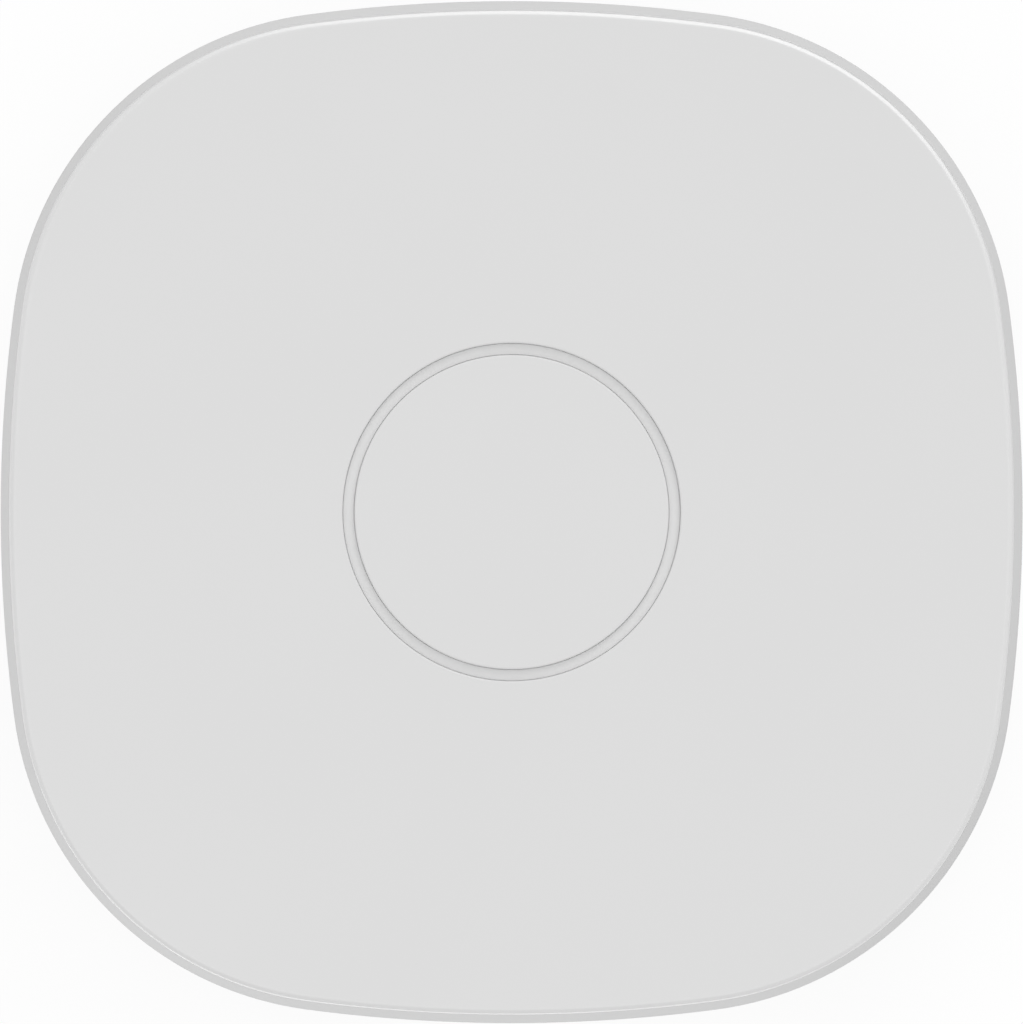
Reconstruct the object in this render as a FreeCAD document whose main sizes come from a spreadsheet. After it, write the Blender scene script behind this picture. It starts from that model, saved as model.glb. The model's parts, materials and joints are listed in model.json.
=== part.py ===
import FreeCAD, Part
import math
import os

import Sketcher

# Wireless home gateway, a low rounded-square puck with one round button in its top.
# Millimetres. The origin is under the middle of the feet, +Z is up, +Y points to the
# rear wall with the sockets, and +X to the right when the sockets face away.

SIZES = {
    # Outline from above: four gentle side arcs joined by four tighter corner arcs
    "case_width": 95.0,
    "side_radius": 145.2,
    "corner_radius": 31.6,
    # Feet
    "foot_radius": 6.0,
    "foot_proud": 1.0,
    "foot_recess": 0.8,
    "foot_bevel": 0.3,
    "foot_clearance": 0.2,
    # Base, the bottom shell
    "base_inset": 0.3,
    "base_edge": 3.0,
    "base_floor": 2.0,
    "base_depth": 4.3,
    "lip_height": 1.5,
    "lip_inset": 1.1,
    "lip_clearance": 0.15,
    "seam_gap": 0.3,
    # Housing, the side wall with its deck
    "wall": 2.0,
    "wall_lean": 0.17,
    "rim_width": 0.65,
    "rim_height": 1.1,
    "rim_crest": 0.04,
    "rim_bevel": 0.12,
    "crest_drop": 0.12,
    "deck": 2.0,
    # Top cover and the tape under it
    "cover_thickness": 1.6,
    "cover_gap": 0.04,
    "cover_edge": 0.26,
    "opening_edge": 0.08,
    "tape_thickness": 0.2,
    "tape_setback": 2.0,
    # Posts and screws that close the housing
    "post_inset": 17.5,
    "post_radius": 3.25,
    "post_pilot": 1.25,
    "post_pilot_depth": 8.0,
    "post_seat": 4.4,
    "post_boss_radius": 4.2,
    "post_screw_radius": 1.45,
    "post_screw_length": 9.0,
    "post_head_radius": 2.5,
    "post_head_height": 1.4,
    "post_head_cover": 0.2,
    "screw_clearance": 0.2,
    # Main board
    "board_inset": 3.6,
    "board_thickness": 1.6,
    "board_standoff": 3.4,
    "board_boss_radius": 2.6,
    "notch_radius": 7.0,
    "notch_shift": 2.0,
    "board_hole_x": 24.0,
    "board_hole_y": 15.0,
    "small_pilot": 1.05,
    "small_pilot_depth": 3.4,
    "small_screw_radius": 1.2,
    "small_screw_length": 4.4,
    "small_head_radius": 2.2,
    "small_head_height": 1.5,
    "cross_width": 0.6,
    "cross_depth": 0.8,
    "cross_ratio": 1.2,
    "pilot_bite": 0.02,
    # Button board under the deck
    "button_board_width": 42.0,
    "button_board_corner": 4.0,
    "button_board_thickness": 1.2,
    "button_board_drop": 2.0,
    "button_boss_spread": 16.6,
    "button_boss_radius": 2.75,
    # Button, its switch and its carrier
    "cap_radius": 14.65,
    "cap_gap": 0.07,
    "cap_thickness": 1.4,
    "cap_edge": 0.12,
    "cap_travel": 0.5,
    "skirt_radius": 13.2,
    "skirt_wall": 1.0,
    "skirt_height": 1.3,
    "cap_boss_radius": 2.2,
    "touch_gap": 0.05,
    "hook_count": 3,
    "leg_radius": 10.9,
    "leg_thickness": 1.2,
    "leg_width": 3.2,
    "hook_reach": 0.7,
    "hook_height": 0.5,
    "hook_lead": 0.23,
    "leg_clearance": 0.2,
    "leg_flex": 0.9,
    "carrier_radius": 14.3,
    "carrier_wall": 1.0,
    "carrier_height": 2.4,
    "carrier_roof": 1.0,
    "peg_radius": 0.8,
    "peg_spread": 13.8,
    "peg_clearance": 0.05,
    "switch_width": 6.2,
    "switch_height": 2.6,
    "switch_floor": 0.4,
    "switch_hole_clearance": 0.5,
    "plunger_radius": 1.65,
    "plunger_proud": 0.5,
    "plunger_fit": 0.08,
    "terminal_width": 0.7,
    "terminal_length": 1.2,
    "terminal_thickness": 0.2,
    "terminal_pitch": 4.5,
    # Light ring
    "ring_width": 0.99,
    "ring_recess": 0.35,
    "ring_edge": 0.05,
    "ring_gap": 0.03,
    "ring_deck_gap": 0.15,
    "ring_flange_radius": 17.4,
    "lamp_count": 8,
    "lamp_width": 1.1,
    "lamp_height": 0.7,
    "lamp_gap": 0.3,
    "screen_radius": 18.0,
    "screen_wall": 0.8,
    "screen_gap": 0.3,
    # Board-to-board connector
    "header_pitch": 2.54,
    "header_columns": 4,
    "header_rows": 2,
    "header_height": 2.5,
    "header_x": 6.0,
    "header_y": -14.0,
    "pin_width": 0.64,
    "pin_fit": 0.04,
    "pin_reach": 6.0,
    # Network socket
    "jack_x": -11.0,
    "jack_width": 16.0,
    "jack_height": 13.5,
    "jack_length": 21.3,
    "jack_sheet": 0.25,
    "jack_frame": 0.9,
    "jack_setback": 1.5,
    "jack_headroom": 0.7,
    "window_clearance": 0.2,
    "window_reach": 10.0,
    "plug_width": 11.9,
    "plug_height": 6.9,
    "plug_floor": 4.4,
    "plug_depth": 15.0,
    "latch_width": 6.2,
    "latch_height": 2.2,
    "contact_width": 0.35,
    "contact_pitch": 1.02,
    "contact_count": 8,
    "contact_drop": 2.3,
    "contact_start": 1.6,
    "contact_run": 11.0,
    "jack_lamp_width": 3.0,
    "jack_lamp_height": 1.8,
    "jack_lamp_depth": 2.5,
    "jack_lamp_side": 1.1,
    "jack_lamp_top": 1.0,
    "part_fit": 0.05,
    # Power socket
    "usb_x": 11.0,
    "usb_width": 8.94,
    "usb_height": 3.26,
    "usb_length": 7.35,
    "usb_sheet": 0.3,
    "usb_clearance": 0.65,
    "tongue_width": 6.7,
    "tongue_thickness": 0.7,
    "tongue_length": 4.6,
    "tongue_root": 1.8,
    "strip_width": 0.25,
    "strip_pitch": 0.5,
    "strip_count": 12,
    "strip_thickness": 0.05,
    "strip_length": 3.8,
    # Reset switch and its pinhole
    "reset_x": 23.0,
    "reset_width": 6.0,
    "reset_depth": 3.5,
    "reset_height": 4.3,
    "reset_axis": 2.3,
    "reset_plunger_radius": 0.8,
    "reset_plunger_proud": 0.9,
    "reset_travel": 0.25,
    "reset_gap": 0.4,
    "pinhole_radius": 0.8,
    # Parts behind the network socket
    "part_spacing": 2.5,
    "transformer_width": 12.7,
    "transformer_length": 7.0,
    "transformer_height": 5.5,
    "can_width": 18.0,
    "can_height": 2.4,
    "can_sheet": 0.2,
    "processor_width": 12.0,
    "processor_height": 1.2,
    "memory_width": 8.0,
    "memory_length": 6.0,
    "memory_height": 1.0,
    "memory_y": 0.0,
    "network_chip_width": 7.0,
    "network_chip_height": 0.9,
    "network_chip_x": 3.0,
    # Supply parts behind the power socket
    "capacitor_radius": 3.15,
    "capacitor_height": 7.7,
    "capacitor_spacing": 7.5,
    "capacitor_setback": 4.5,
    "inductor_width": 6.0,
    "inductor_height": 3.0,
    "regulator_width": 5.0,
    "regulator_height": 1.6,
    # Radio module and antenna at the front edge
    "module_width": 16.0,
    "module_length": 22.0,
    "module_thickness": 0.8,
    "module_x": -8.5,
    "module_inset": 5.5,
    "module_can_width": 13.0,
    "module_can_length": 14.0,
    "module_can_height": 1.8,
    "module_can_margin": 1.2,
    "antenna_x": 9.5,
    "antenna_length": 14.0,
    "antenna_inset": 10.5,
    "antenna_height": 6.0,
    "antenna_bar": 1.6,
    "antenna_leg": 1.5,
    "antenna_leg_gap": 2.5,
    "antenna_sheet": 0.3,
    # Small parts in rows
    "crystal_width": 3.2,
    "crystal_length": 2.5,
    "crystal_height": 0.8,
    "crystal_x": 20.5,
    "crystal_y": 9.0,
    "crystal_spacing": 5.0,
    "passive_length": 1.6,
    "passive_width": 0.8,
    "passive_height": 0.7,
    "passive_x": 24.0,
    "passive_y": -9.0,
    "passive_pitch_x": 3.0,
    "passive_pitch_y": 2.5,
    "passive_columns": 3,
    "passive_rows": 8,
    # Keyholes and vents in the base
    "keyhole_spread": 50.0,
    "keyhole_entry": 3.75,
    "keyhole_slot": 2.15,
    "keyhole_run": 7.0,
    "guard_wall": 1.2,
    "guard_clearance": 0.5,
    "vent_width": 1.8,
    "vent_length": 12.0,
    "vent_pitch": 4.0,
    "vent_columns": 7,
    "vent_offset": 18.0,
}

# Heights and places that follow from the sizes: what stands on what, from the feet up
LEVELS = {
    "half": "Sizes.case_width / 2",
    "side_centre": "Levels.half - Sizes.side_radius",
    "arc_step": "Sizes.side_radius - Sizes.corner_radius",
    "corner_centre": "(Levels.side_centre + sqrt(2 * Levels.arc_step ^ 2 - Levels.side_centre ^ 2)) / 2",
    "base_under": "Sizes.foot_proud",
    "foot_top": "Levels.base_under + Sizes.foot_recess",
    "floor_top": "Levels.base_under + Sizes.base_floor",
    "base_top": "Levels.base_under + Sizes.base_depth",
    "wall_low": "Levels.base_top + Sizes.seam_gap",
    "board_under": "Levels.floor_top + Sizes.board_standoff",
    "board_top": "Levels.board_under + Sizes.board_thickness",
    "deck_under": "Levels.board_top + Sizes.jack_height + Sizes.jack_headroom",
    "button_board_top": "Levels.deck_under - Sizes.button_board_drop",
    "button_board_under": "Levels.button_board_top - Sizes.button_board_thickness",
    "deck_top": "Levels.deck_under + Sizes.deck",
    "cover_under": "Levels.deck_top + Sizes.tape_thickness",
    "cover_top": "Levels.cover_under + Sizes.cover_thickness",
    "crest": "Levels.cover_top - Sizes.crest_drop",
    "rim_low": "Levels.crest - Sizes.rim_height",
    "crest_inset": "Sizes.wall_lean + Sizes.rim_width",
    "bevel_inset": "Levels.crest_inset + Sizes.rim_crest",
    "recess_inset": "Levels.bevel_inset + Sizes.rim_bevel",
    "cover_inset": "Levels.recess_inset + Sizes.cover_gap",
    "lip_outer": "Sizes.lip_inset + Sizes.lip_clearance",
    "base_inner": "Sizes.wall + Sizes.lip_clearance",
    "post_place": "Levels.half - Sizes.post_inset",
    "post_seat_top": "Levels.base_under + Sizes.post_seat",
    "post_head_low": "Levels.foot_top + Sizes.post_head_cover",
    "post_head_top": "Levels.post_head_low + Sizes.post_head_height",
    "notch_place": "Levels.post_place + Sizes.notch_shift",
    "ring_inner": "Sizes.cap_radius + Sizes.cap_gap",
    "ring_outer": "Levels.ring_inner + Sizes.ring_width",
    "cover_opening": "Levels.ring_outer + Sizes.ring_gap",
    "deck_opening": "Levels.ring_outer + Sizes.ring_deck_gap",
    "ring_top": "Levels.cover_top - Sizes.ring_recess",
    "ring_low": "Levels.button_board_top + Sizes.lamp_height + Sizes.lamp_gap",
    "lamp_radius": "Levels.ring_inner + Sizes.ring_width / 2",
    "cap_under": "Levels.cover_top - Sizes.cap_thickness",
    "carrier_top": "Levels.button_board_top + Sizes.carrier_height",
    "roof_under": "Levels.carrier_top - Sizes.carrier_roof",
    "hook_top": "Levels.roof_under - Sizes.touch_gap",
    "hook_low": "Levels.hook_top - Sizes.hook_height",
    "switch_top": "Levels.button_board_top + Sizes.switch_height",
    "plunger_top": "Levels.switch_top + Sizes.plunger_proud",
    "plunger_low": "Levels.button_board_top + Sizes.switch_floor + Sizes.cap_travel + Sizes.touch_gap",
    "socket_low": "Levels.board_top + Sizes.header_height",
    "jack_face": "Levels.half - Sizes.jack_setback",
    "jack_rear": "Levels.jack_face - Sizes.jack_length",
    "plug_low": "Levels.board_top + Sizes.plug_floor",
    "plug_top": "Levels.plug_low + Sizes.plug_height",
    "usb_rear": "Levels.jack_face - Sizes.usb_length",
    "usb_middle": "Levels.board_top + Sizes.usb_height / 2",
    "reset_offset": "Sizes.reset_x - Levels.corner_centre",
    "inner_corner": "Sizes.corner_radius - Sizes.wall",
    "wall_at_reset": "Levels.corner_centre + sqrt(Levels.inner_corner ^ 2 - Levels.reset_offset ^ 2)",
    "reset_tip": "Levels.wall_at_reset - Sizes.reset_gap",
    "reset_face": "Levels.reset_tip - Sizes.reset_plunger_proud",
    "reset_rear": "Levels.reset_face - Sizes.reset_depth",
    "reset_height": "Levels.board_top + Sizes.reset_axis",
    "transformer_rear": "Levels.jack_rear - Sizes.part_spacing - Sizes.transformer_length",
    "network_chip_reach": "Sizes.network_chip_x + Sizes.network_chip_width / 2",
    "memory_x": "Levels.network_chip_reach + Sizes.part_spacing + Sizes.memory_width / 2",
    "can_rear": "Levels.transformer_rear - Sizes.part_spacing - Sizes.can_width",
    "capacitor_y": "Levels.usb_rear - Sizes.capacitor_setback - Sizes.capacitor_radius",
    "supply_y": "Levels.capacitor_y - Sizes.capacitor_radius - Sizes.part_spacing",
    "module_front": "Sizes.module_inset - Levels.half",
    "antenna_y": "Sizes.antenna_inset - Levels.half",
    "keyhole_low": "-Sizes.keyhole_run / 2",
    "guard_top": "Levels.board_under - Sizes.guard_clearance",
}

ALL_ROUND = 360
QUARTER = math.pi / 2
ROOT_TWO = math.sqrt(2)
EDGE_TOLERANCE = 1e-4
SIDES = ((1, 1), (-1, 1), (-1, -1), (1, -1))

doc = FreeCAD.newDocument("Gateway")

sheet = doc.addObject("Spreadsheet::Sheet", "Sizes")
for row, (alias, size) in enumerate(SIZES.items(), start=1):
    sheet.set("A%d" % row, alias)
    sheet.set("B%d" % row, str(size))
    sheet.setAlias("B%d" % row, alias)
doc.recompute()

levels = doc.addObject("App::VarSet", "Levels")
for alias, rule in LEVELS.items():
    levels.addProperty("App::PropertyFloat", alias, "Levels")
    levels.setExpression(alias, rule)
doc.recompute()


def number(rule):
    """The value of an expression on the sizes and levels."""
    value = sheet.evalExpression(str(rule))
    return float(getattr(value, "Value", value))


def bind(thing, prop, rule):
    thing.setExpression(prop, str(rule))


def place(thing, x="0", y="0", z="0"):
    for axis, rule in zip("xyz", (x, y, z)):
        bind(thing, "Placement.Base.%s" % axis, rule)


# Plain primitives and booleans

def block(name, corner, size):
    """A box from its lowest corner."""
    piece = doc.addObject("Part::Box", name)
    for prop, rule in zip(("Length", "Width", "Height"), size):
        bind(piece, prop, rule)
    place(piece, *corner)
    return piece


def centred_block(name, x, y, z, size):
    """A box centred on x and y that stands on z."""
    corner = ("%s - (%s) / 2" % (x, size[0]), "%s - (%s) / 2" % (y, size[1]), z)
    return block(name, corner, size)


def rod(name, foot, radius, height):
    """An upright cylinder."""
    piece = doc.addObject("Part::Cylinder", name)
    bind(piece, "Radius", radius)
    bind(piece, "Height", height)
    place(piece, *foot)
    return piece


def level_rod(name, foot, radius, length):
    """A cylinder that lies along +Y."""
    piece = rod(name, foot, radius, length)
    piece.Placement.Rotation = FreeCAD.Rotation(FreeCAD.Vector(1, 0, 0), -90)
    return piece


def cut(name, base, *tools):
    """The base without the tools."""
    piece = doc.addObject("Part::Cut", name)
    piece.Base = base
    piece.Tool = tools[0] if len(tools) == 1 else join(name + "_tools", *tools)
    return piece


def join(name, *parts):
    piece = doc.addObject("Part::MultiFuse", name)
    piece.Shapes = list(parts)
    return piece


def group(name, parts):
    """Separate solids kept in one node."""
    piece = doc.addObject("Part::Compound", name)
    piece.Links = list(parts)
    return piece


# Sketches and solid features

def origin_part(body, role):
    return next(item for item in body.Origin.OriginFeatures if item.Role == role)


def new_body(name):
    return doc.addObject("PartDesign::Body", name + "_body")


def new_sketch(body, name, role, level):
    sketch = body.newObject("Sketcher::SketchObject", name)
    sketch.AttachmentSupport = [(origin_part(body, role), "")]
    sketch.MapMode = "FlatFace"
    bind(sketch, "AttachmentOffset.Base.z", level)
    return sketch


def tie(sketch, constraint, rule):
    """Add a constraint whose value follows a rule."""
    index = sketch.addConstraint(constraint)
    sketch.setExpression("Constraints[%d]" % index, str(rule))


def tie_point(sketch, item, end, at, rules):
    tie(sketch, Sketcher.Constraint("DistanceX", -1, 1, item, end, at[0]), rules[0])
    tie(sketch, Sketcher.Constraint("DistanceY", -1, 1, item, end, at[1]), rules[1])


def draw_circle(sketch, x, y, radius):
    at = (number(x), number(y))
    centre = FreeCAD.Vector(at[0], at[1], 0)
    circle = Part.Circle(centre, FreeCAD.Vector(0, 0, 1), number(radius))
    item = sketch.addGeometry(circle, False)
    tie(sketch, Sketcher.Constraint("Radius", item, number(radius)), radius)
    tie_point(sketch, item, 3, at, (x, y))


def draw_polygon(sketch, points):
    """A closed outline of straight lines through the given points."""
    at = [(number(u), number(v)) for u, v in points]
    corners = [FreeCAD.Vector(u, v, 0) for u, v in at]
    items = []
    for start, end in zip(corners, corners[1:] + corners[:1]):
        items.append(sketch.addGeometry(Part.LineSegment(start, end), False))
    for item, following in zip(items, items[1:] + items[:1]):
        sketch.addConstraint(Sketcher.Constraint("Coincident", item, 2, following, 1))
    for item, place_now, rules in zip(items, at, points):
        tie_point(sketch, item, 1, place_now, rules)


def draw_arc_loop(sketch, arcs, radius_rules, centre_rules):
    """Arcs that run into each other without a corner, each with its own radius and centre."""
    items = []
    for x, y, radius, start, end in arcs:
        circle = Part.Circle(FreeCAD.Vector(x, y, 0), FreeCAD.Vector(0, 0, 1), radius)
        items.append(sketch.addGeometry(Part.ArcOfCircle(circle, start, end), False))
    for item, following in zip(items, items[1:] + items[:1]):
        sketch.addConstraint(Sketcher.Constraint("Tangent", item, 2, following, 1))
    for kind, rule in enumerate(radius_rules):
        tie(sketch, Sketcher.Constraint("Radius", items[kind], arcs[kind][2]), rule)
        for item in items[kind + 2::2]:
            sketch.addConstraint(Sketcher.Constraint("Equal", items[kind], item))
    for item, arc, rules in zip(items[::2], arcs[::2], centre_rules):
        tie_point(sketch, item, 3, arc, rules)


def draw_squircle(sketch, inset):
    """The case outline, moved inward by an inset."""
    side_centre = number("Levels.side_centre")
    corner = number("Levels.corner_centre")
    side_radius = number("Sizes.side_radius - (%s)" % inset)
    corner_radius = number("Sizes.corner_radius - (%s)" % inset)
    turn = math.atan2(corner, corner - side_centre)
    arcs = []
    centre_rules = []
    for quarter, (along_x, along_y) in enumerate(((1, 0), (0, 1), (-1, 0), (0, -1))):
        heading = quarter * QUARTER
        x, y = along_x * side_centre, along_y * side_centre
        arcs.append((x, y, side_radius, heading - turn, heading + turn))
        middle = heading + QUARTER / 2
        x = ROOT_TWO * corner * math.cos(middle)
        y = ROOT_TWO * corner * math.sin(middle)
        arcs.append((x, y, corner_radius, heading + turn, heading + QUARTER - turn))
        centre_rules.append(("%d * Levels.side_centre" % along_x, "%d * Levels.side_centre" % along_y))
    radius_rules = ("Sizes.side_radius - (%s)" % inset, "Sizes.corner_radius - (%s)" % inset)
    draw_arc_loop(sketch, arcs, radius_rules, centre_rules)


def draw_rounded(sketch, x, y, width, height, radius):
    """A rectangle with rounded corners, centred on x and y."""
    left, right = "%s - (%s) / 2" % (x, width), "%s + (%s) / 2" % (x, width)
    low, high = "%s - (%s) / 2" % (y, height), "%s + (%s) / 2" % (y, height)
    centres = [
        ("%s - (%s)" % (right, radius), "%s - (%s)" % (high, radius)),
        ("%s + (%s)" % (left, radius), "%s - (%s)" % (high, radius)),
        ("%s + (%s)" % (left, radius), "%s + (%s)" % (low, radius)),
        ("%s - (%s)" % (right, radius), "%s + (%s)" % (low, radius)),
    ]
    reach = number(radius)
    at = [(number(u), number(v)) for u, v in centres]
    arcs = []
    for quarter, (u, v) in enumerate(at):
        circle = Part.Circle(FreeCAD.Vector(u, v, 0), FreeCAD.Vector(0, 0, 1), reach)
        arc = Part.ArcOfCircle(circle, quarter * QUARTER, (quarter + 1) * QUARTER)
        arcs.append(sketch.addGeometry(arc, False))
    lines = []
    for quarter, (u, v) in enumerate(at):
        heading = (quarter + 1) * QUARTER
        away = FreeCAD.Vector(reach * math.cos(heading), reach * math.sin(heading), 0)
        following = at[(quarter + 1) % len(at)]
        start = FreeCAD.Vector(u, v, 0) + away
        end = FreeCAD.Vector(following[0], following[1], 0) + away
        lines.append(sketch.addGeometry(Part.LineSegment(start, end), False))
    for arc, line, following in zip(arcs, lines, arcs[1:] + arcs[:1]):
        sketch.addConstraint(Sketcher.Constraint("Tangent", arc, 2, line, 1))
        sketch.addConstraint(Sketcher.Constraint("Tangent", line, 2, following, 1))
    tie(sketch, Sketcher.Constraint("Radius", arcs[0], reach), radius)
    tie_point(sketch, arcs[0], 3, at[0], centres[0])
    tie_point(sketch, arcs[2], 3, at[2], centres[2])
    sketch.addConstraint(Sketcher.Constraint("Equal", arcs[0], arcs[1]))
    sketch.addConstraint(Sketcher.Constraint("Equal", arcs[0], arcs[2]))


def draw_slot(sketch, x, y, run, radius, upright):
    """A slot with round ends, whose end centres lie a run apart about x and y."""
    step = (("(%s) / 2" % run, "0"), ("0", "(%s) / 2" % run))[upright]
    ends = [("%s + %s" % (x, step[0]), "%s + %s" % (y, step[1])),
            ("%s - %s" % (x, step[0]), "%s - %s" % (y, step[1]))]
    at = [(number(u), number(v)) for u, v in ends]
    reach = number(radius)
    heading = QUARTER if upright else 0
    arcs = []
    for index, (u, v) in enumerate(at):
        circle = Part.Circle(FreeCAD.Vector(u, v, 0), FreeCAD.Vector(0, 0, 1), reach)
        start = heading - QUARTER + index * math.pi
        arcs.append(sketch.addGeometry(Part.ArcOfCircle(circle, start, start + math.pi), False))
    across = FreeCAD.Vector(-math.sin(heading), math.cos(heading), 0) * reach
    first, second = (FreeCAD.Vector(u, v, 0) for u, v in at)
    top = sketch.addGeometry(Part.LineSegment(first + across, second + across), False)
    low = sketch.addGeometry(Part.LineSegment(second - across, first - across), False)
    for item, following in ((arcs[0], top), (top, arcs[1]), (arcs[1], low), (low, arcs[0])):
        sketch.addConstraint(Sketcher.Constraint("Tangent", item, 2, following, 1))
    tie(sketch, Sketcher.Constraint("Radius", arcs[0], reach), radius)
    tie_point(sketch, arcs[0], 3, at[0], ends[0])
    tie_point(sketch, arcs[1], 3, at[1], ends[1])


def pad(body, sketch, length, down=False, middle=False):
    feature = body.newObject("PartDesign::Pad", sketch.Name + "_pad")
    feature.Profile = sketch
    feature.Reversed = down
    feature.Midplane = middle
    bind(feature, "Length", length)
    sketch.Visibility = False
    doc.recompute()
    return feature


def pocket(body, sketch, depth, along=True, middle=False):
    """Cut a sketch out of the body, along its normal or against it."""
    before = body.Shape.Volume
    feature = body.newObject("PartDesign::Pocket", sketch.Name + "_pocket")
    feature.Profile = sketch
    feature.Reversed = along
    feature.Midplane = middle
    bind(feature, "Length", depth)
    doc.recompute()
    if feature.Shape.Volume >= before:
        raise ValueError("%s cuts nothing" % feature.Name)
    return feature


def turn(body, sketch):
    feature = body.newObject("PartDesign::Revolution", sketch.Name + "_turned")
    feature.Profile = sketch
    feature.ReferenceAxis = (sketch, ["V_Axis"])
    feature.Angle = ALL_ROUND
    doc.recompute()
    return feature


def loft(body, lower, upper, taken_away=False):
    kind = "PartDesign::SubtractiveLoft" if taken_away else "PartDesign::AdditiveLoft"
    feature = body.newObject(kind, lower.Name + "_loft")
    feature.Profile = lower
    feature.Sections = [upper]
    feature.Ruled = True
    doc.recompute()
    return feature


def repeat_round(body, feature, count):
    pattern = body.newObject("PartDesign::PolarPattern", feature.Name + "_round")
    pattern.Originals = [feature]
    pattern.Axis = (origin_part(body, "Z_Axis"), [""])
    pattern.Angle = ALL_ROUND
    bind(pattern, "Occurrences", count)
    body.Tip = pattern
    doc.recompute()
    return pattern


def repeat_along_x(body, feature, pitch, count):
    pattern = body.newObject("PartDesign::LinearPattern", feature.Name + "_row")
    pattern.Originals = [feature]
    pattern.Direction = (origin_part(body, "X_Axis"), [""])
    bind(pattern, "Length", "%s * (%s - 1)" % (pitch, count))
    bind(pattern, "Occurrences", count)
    body.Tip = pattern
    doc.recompute()
    return pattern


def edges_at(shape, height, within=None):
    """Names of the edges that lie flat at a height, and inside a radius if one is given."""
    names = []
    for index, edge in enumerate(shape.Edges, start=1):
        box = edge.BoundBox
        flat = abs(box.ZMin - height) < EDGE_TOLERANCE and abs(box.ZMax - height) < EDGE_TOLERANCE
        reach = max(abs(box.XMin), abs(box.XMax), abs(box.YMin), abs(box.YMax))
        if flat and (within is None or reach <= within):
            names.append("Edge%d" % index)
    return names


def round_edges(body, names, radius):
    base = body.Tip
    feature = body.newObject("PartDesign::Fillet", base.Name + "_rounded")
    feature.Base = (base, names)
    bind(feature, "Radius", radius)
    doc.recompute()
    return feature


def four_places(place_rule_x, place_rule_y):
    """The same place mirrored into all four quarters."""
    return [("%d * (%s)" % (x, place_rule_x), "%d * (%s)" % (y, place_rule_y)) for x, y in SIDES]


def finish(name, thing):
    """Name a finished sub-part after its file."""
    thing.Label = name
    SUBPARTS[name] = thing


SUBPARTS = {}

POSTS = four_places("Levels.post_place", "Levels.post_place")
NOTCHES = four_places("Levels.notch_place", "Levels.notch_place")
BOARD_HOLES = four_places("Sizes.board_hole_x", "Sizes.board_hole_y")
BUTTON_BOSSES = four_places("Sizes.button_boss_spread", "Sizes.button_boss_spread")
PEGS = (("Sizes.peg_spread", "0"), ("-Sizes.peg_spread", "0"))


def circles(body, name, level, places, radius):
    sketch = new_sketch(body, name, "XY_Plane", level)
    for x, y in places:
        draw_circle(sketch, x, y, radius)
    return sketch


def squircles(body, name, level, *insets):
    sketch = new_sketch(body, name, "XY_Plane", level)
    for inset in insets:
        draw_squircle(sketch, inset)
    return sketch


# Base: bottom shell with a rounded lower edge, a lip for the housing, standoffs and bosses

def make_base():
    body = new_body("base")
    outline = squircles(body, "base_outline", "Levels.base_under", "Sizes.base_inset")
    pad(body, outline, "Sizes.base_depth")
    round_edges(body, edges_at(body.Shape, number("Levels.base_under")), "Sizes.base_edge")
    inside = squircles(body, "base_inside", "Levels.floor_top", "Levels.base_inner")
    pocket(body, inside, "Levels.base_top - Levels.floor_top")
    lip = squircles(body, "base_lip", "Levels.base_top", "Levels.lip_outer", "Levels.base_inner")
    pad(body, lip, "Sizes.lip_height")
    # Standoffs for the main board and bosses that meet the housing posts
    standoffs = circles(body, "standoffs", "Levels.base_under + Sizes.base_floor / 2", BOARD_HOLES,
                        "Sizes.board_boss_radius")
    pad(body, standoffs, "Levels.board_under - Levels.base_under - Sizes.base_floor / 2")
    bosses = circles(body, "post_bosses", "Levels.base_under + Sizes.base_floor / 2", POSTS,
                     "Sizes.post_boss_radius")
    pad(body, bosses, "Levels.post_seat_top - Levels.base_under - Sizes.base_floor / 2")
    pilots = circles(body, "standoff_pilots", "Levels.board_under", BOARD_HOLES, "Sizes.small_pilot")
    pocket(body, pilots, "Sizes.small_pilot_depth", along=False)
    recesses = circles(body, "foot_recesses", "Levels.base_under", POSTS,
                       "Sizes.foot_radius + Sizes.foot_clearance")
    pocket(body, recesses, "Sizes.foot_recess")
    heads = circles(body, "head_recesses", "Levels.foot_top", POSTS,
                    "Sizes.post_head_radius + Sizes.screw_clearance")
    pocket(body, heads, "Levels.post_head_top - Levels.foot_top")
    shanks = circles(body, "shank_holes", "Levels.base_under", POSTS,
                     "Sizes.post_screw_radius + Sizes.screw_clearance")
    pocket(body, shanks, "Levels.post_seat_top - Levels.base_under")
    add_keyholes(body)
    add_vents(body)
    finish("base", body)


def add_keyholes(body):
    """Two wall keyholes, each with a guard wall that keeps the screw head off the board."""
    sides = ("Sizes.keyhole_spread / 2", "-Sizes.keyhole_spread / 2")
    outer = "Sizes.keyhole_entry + Sizes.guard_wall"
    guard = new_sketch(body, "keyhole_guards", "XY_Plane", "Levels.floor_top - Sizes.base_floor / 2")
    for side in sides:
        draw_slot(guard, side, "0", "Sizes.keyhole_run", outer, upright=True)
    pad(body, guard, "Levels.guard_top - Levels.floor_top + Sizes.base_floor / 2")
    hollow = new_sketch(body, "keyhole_hollows", "XY_Plane", "Levels.floor_top")
    for side in sides:
        draw_slot(hollow, side, "0", "Sizes.keyhole_run", "Sizes.keyhole_entry", upright=True)
    pocket(body, hollow, "Levels.guard_top - Levels.floor_top")
    entry = circles(body, "keyhole_entries", "Levels.base_under",
                    [(side, "Levels.keyhole_low") for side in sides], "Sizes.keyhole_entry")
    pocket(body, entry, "Sizes.base_floor")
    slots = new_sketch(body, "keyhole_slots", "XY_Plane", "Levels.base_under")
    for side in sides:
        draw_slot(slots, side, "0", "Sizes.keyhole_run", "Sizes.keyhole_slot", upright=True)
    pocket(body, slots, "Sizes.base_floor")


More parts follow.
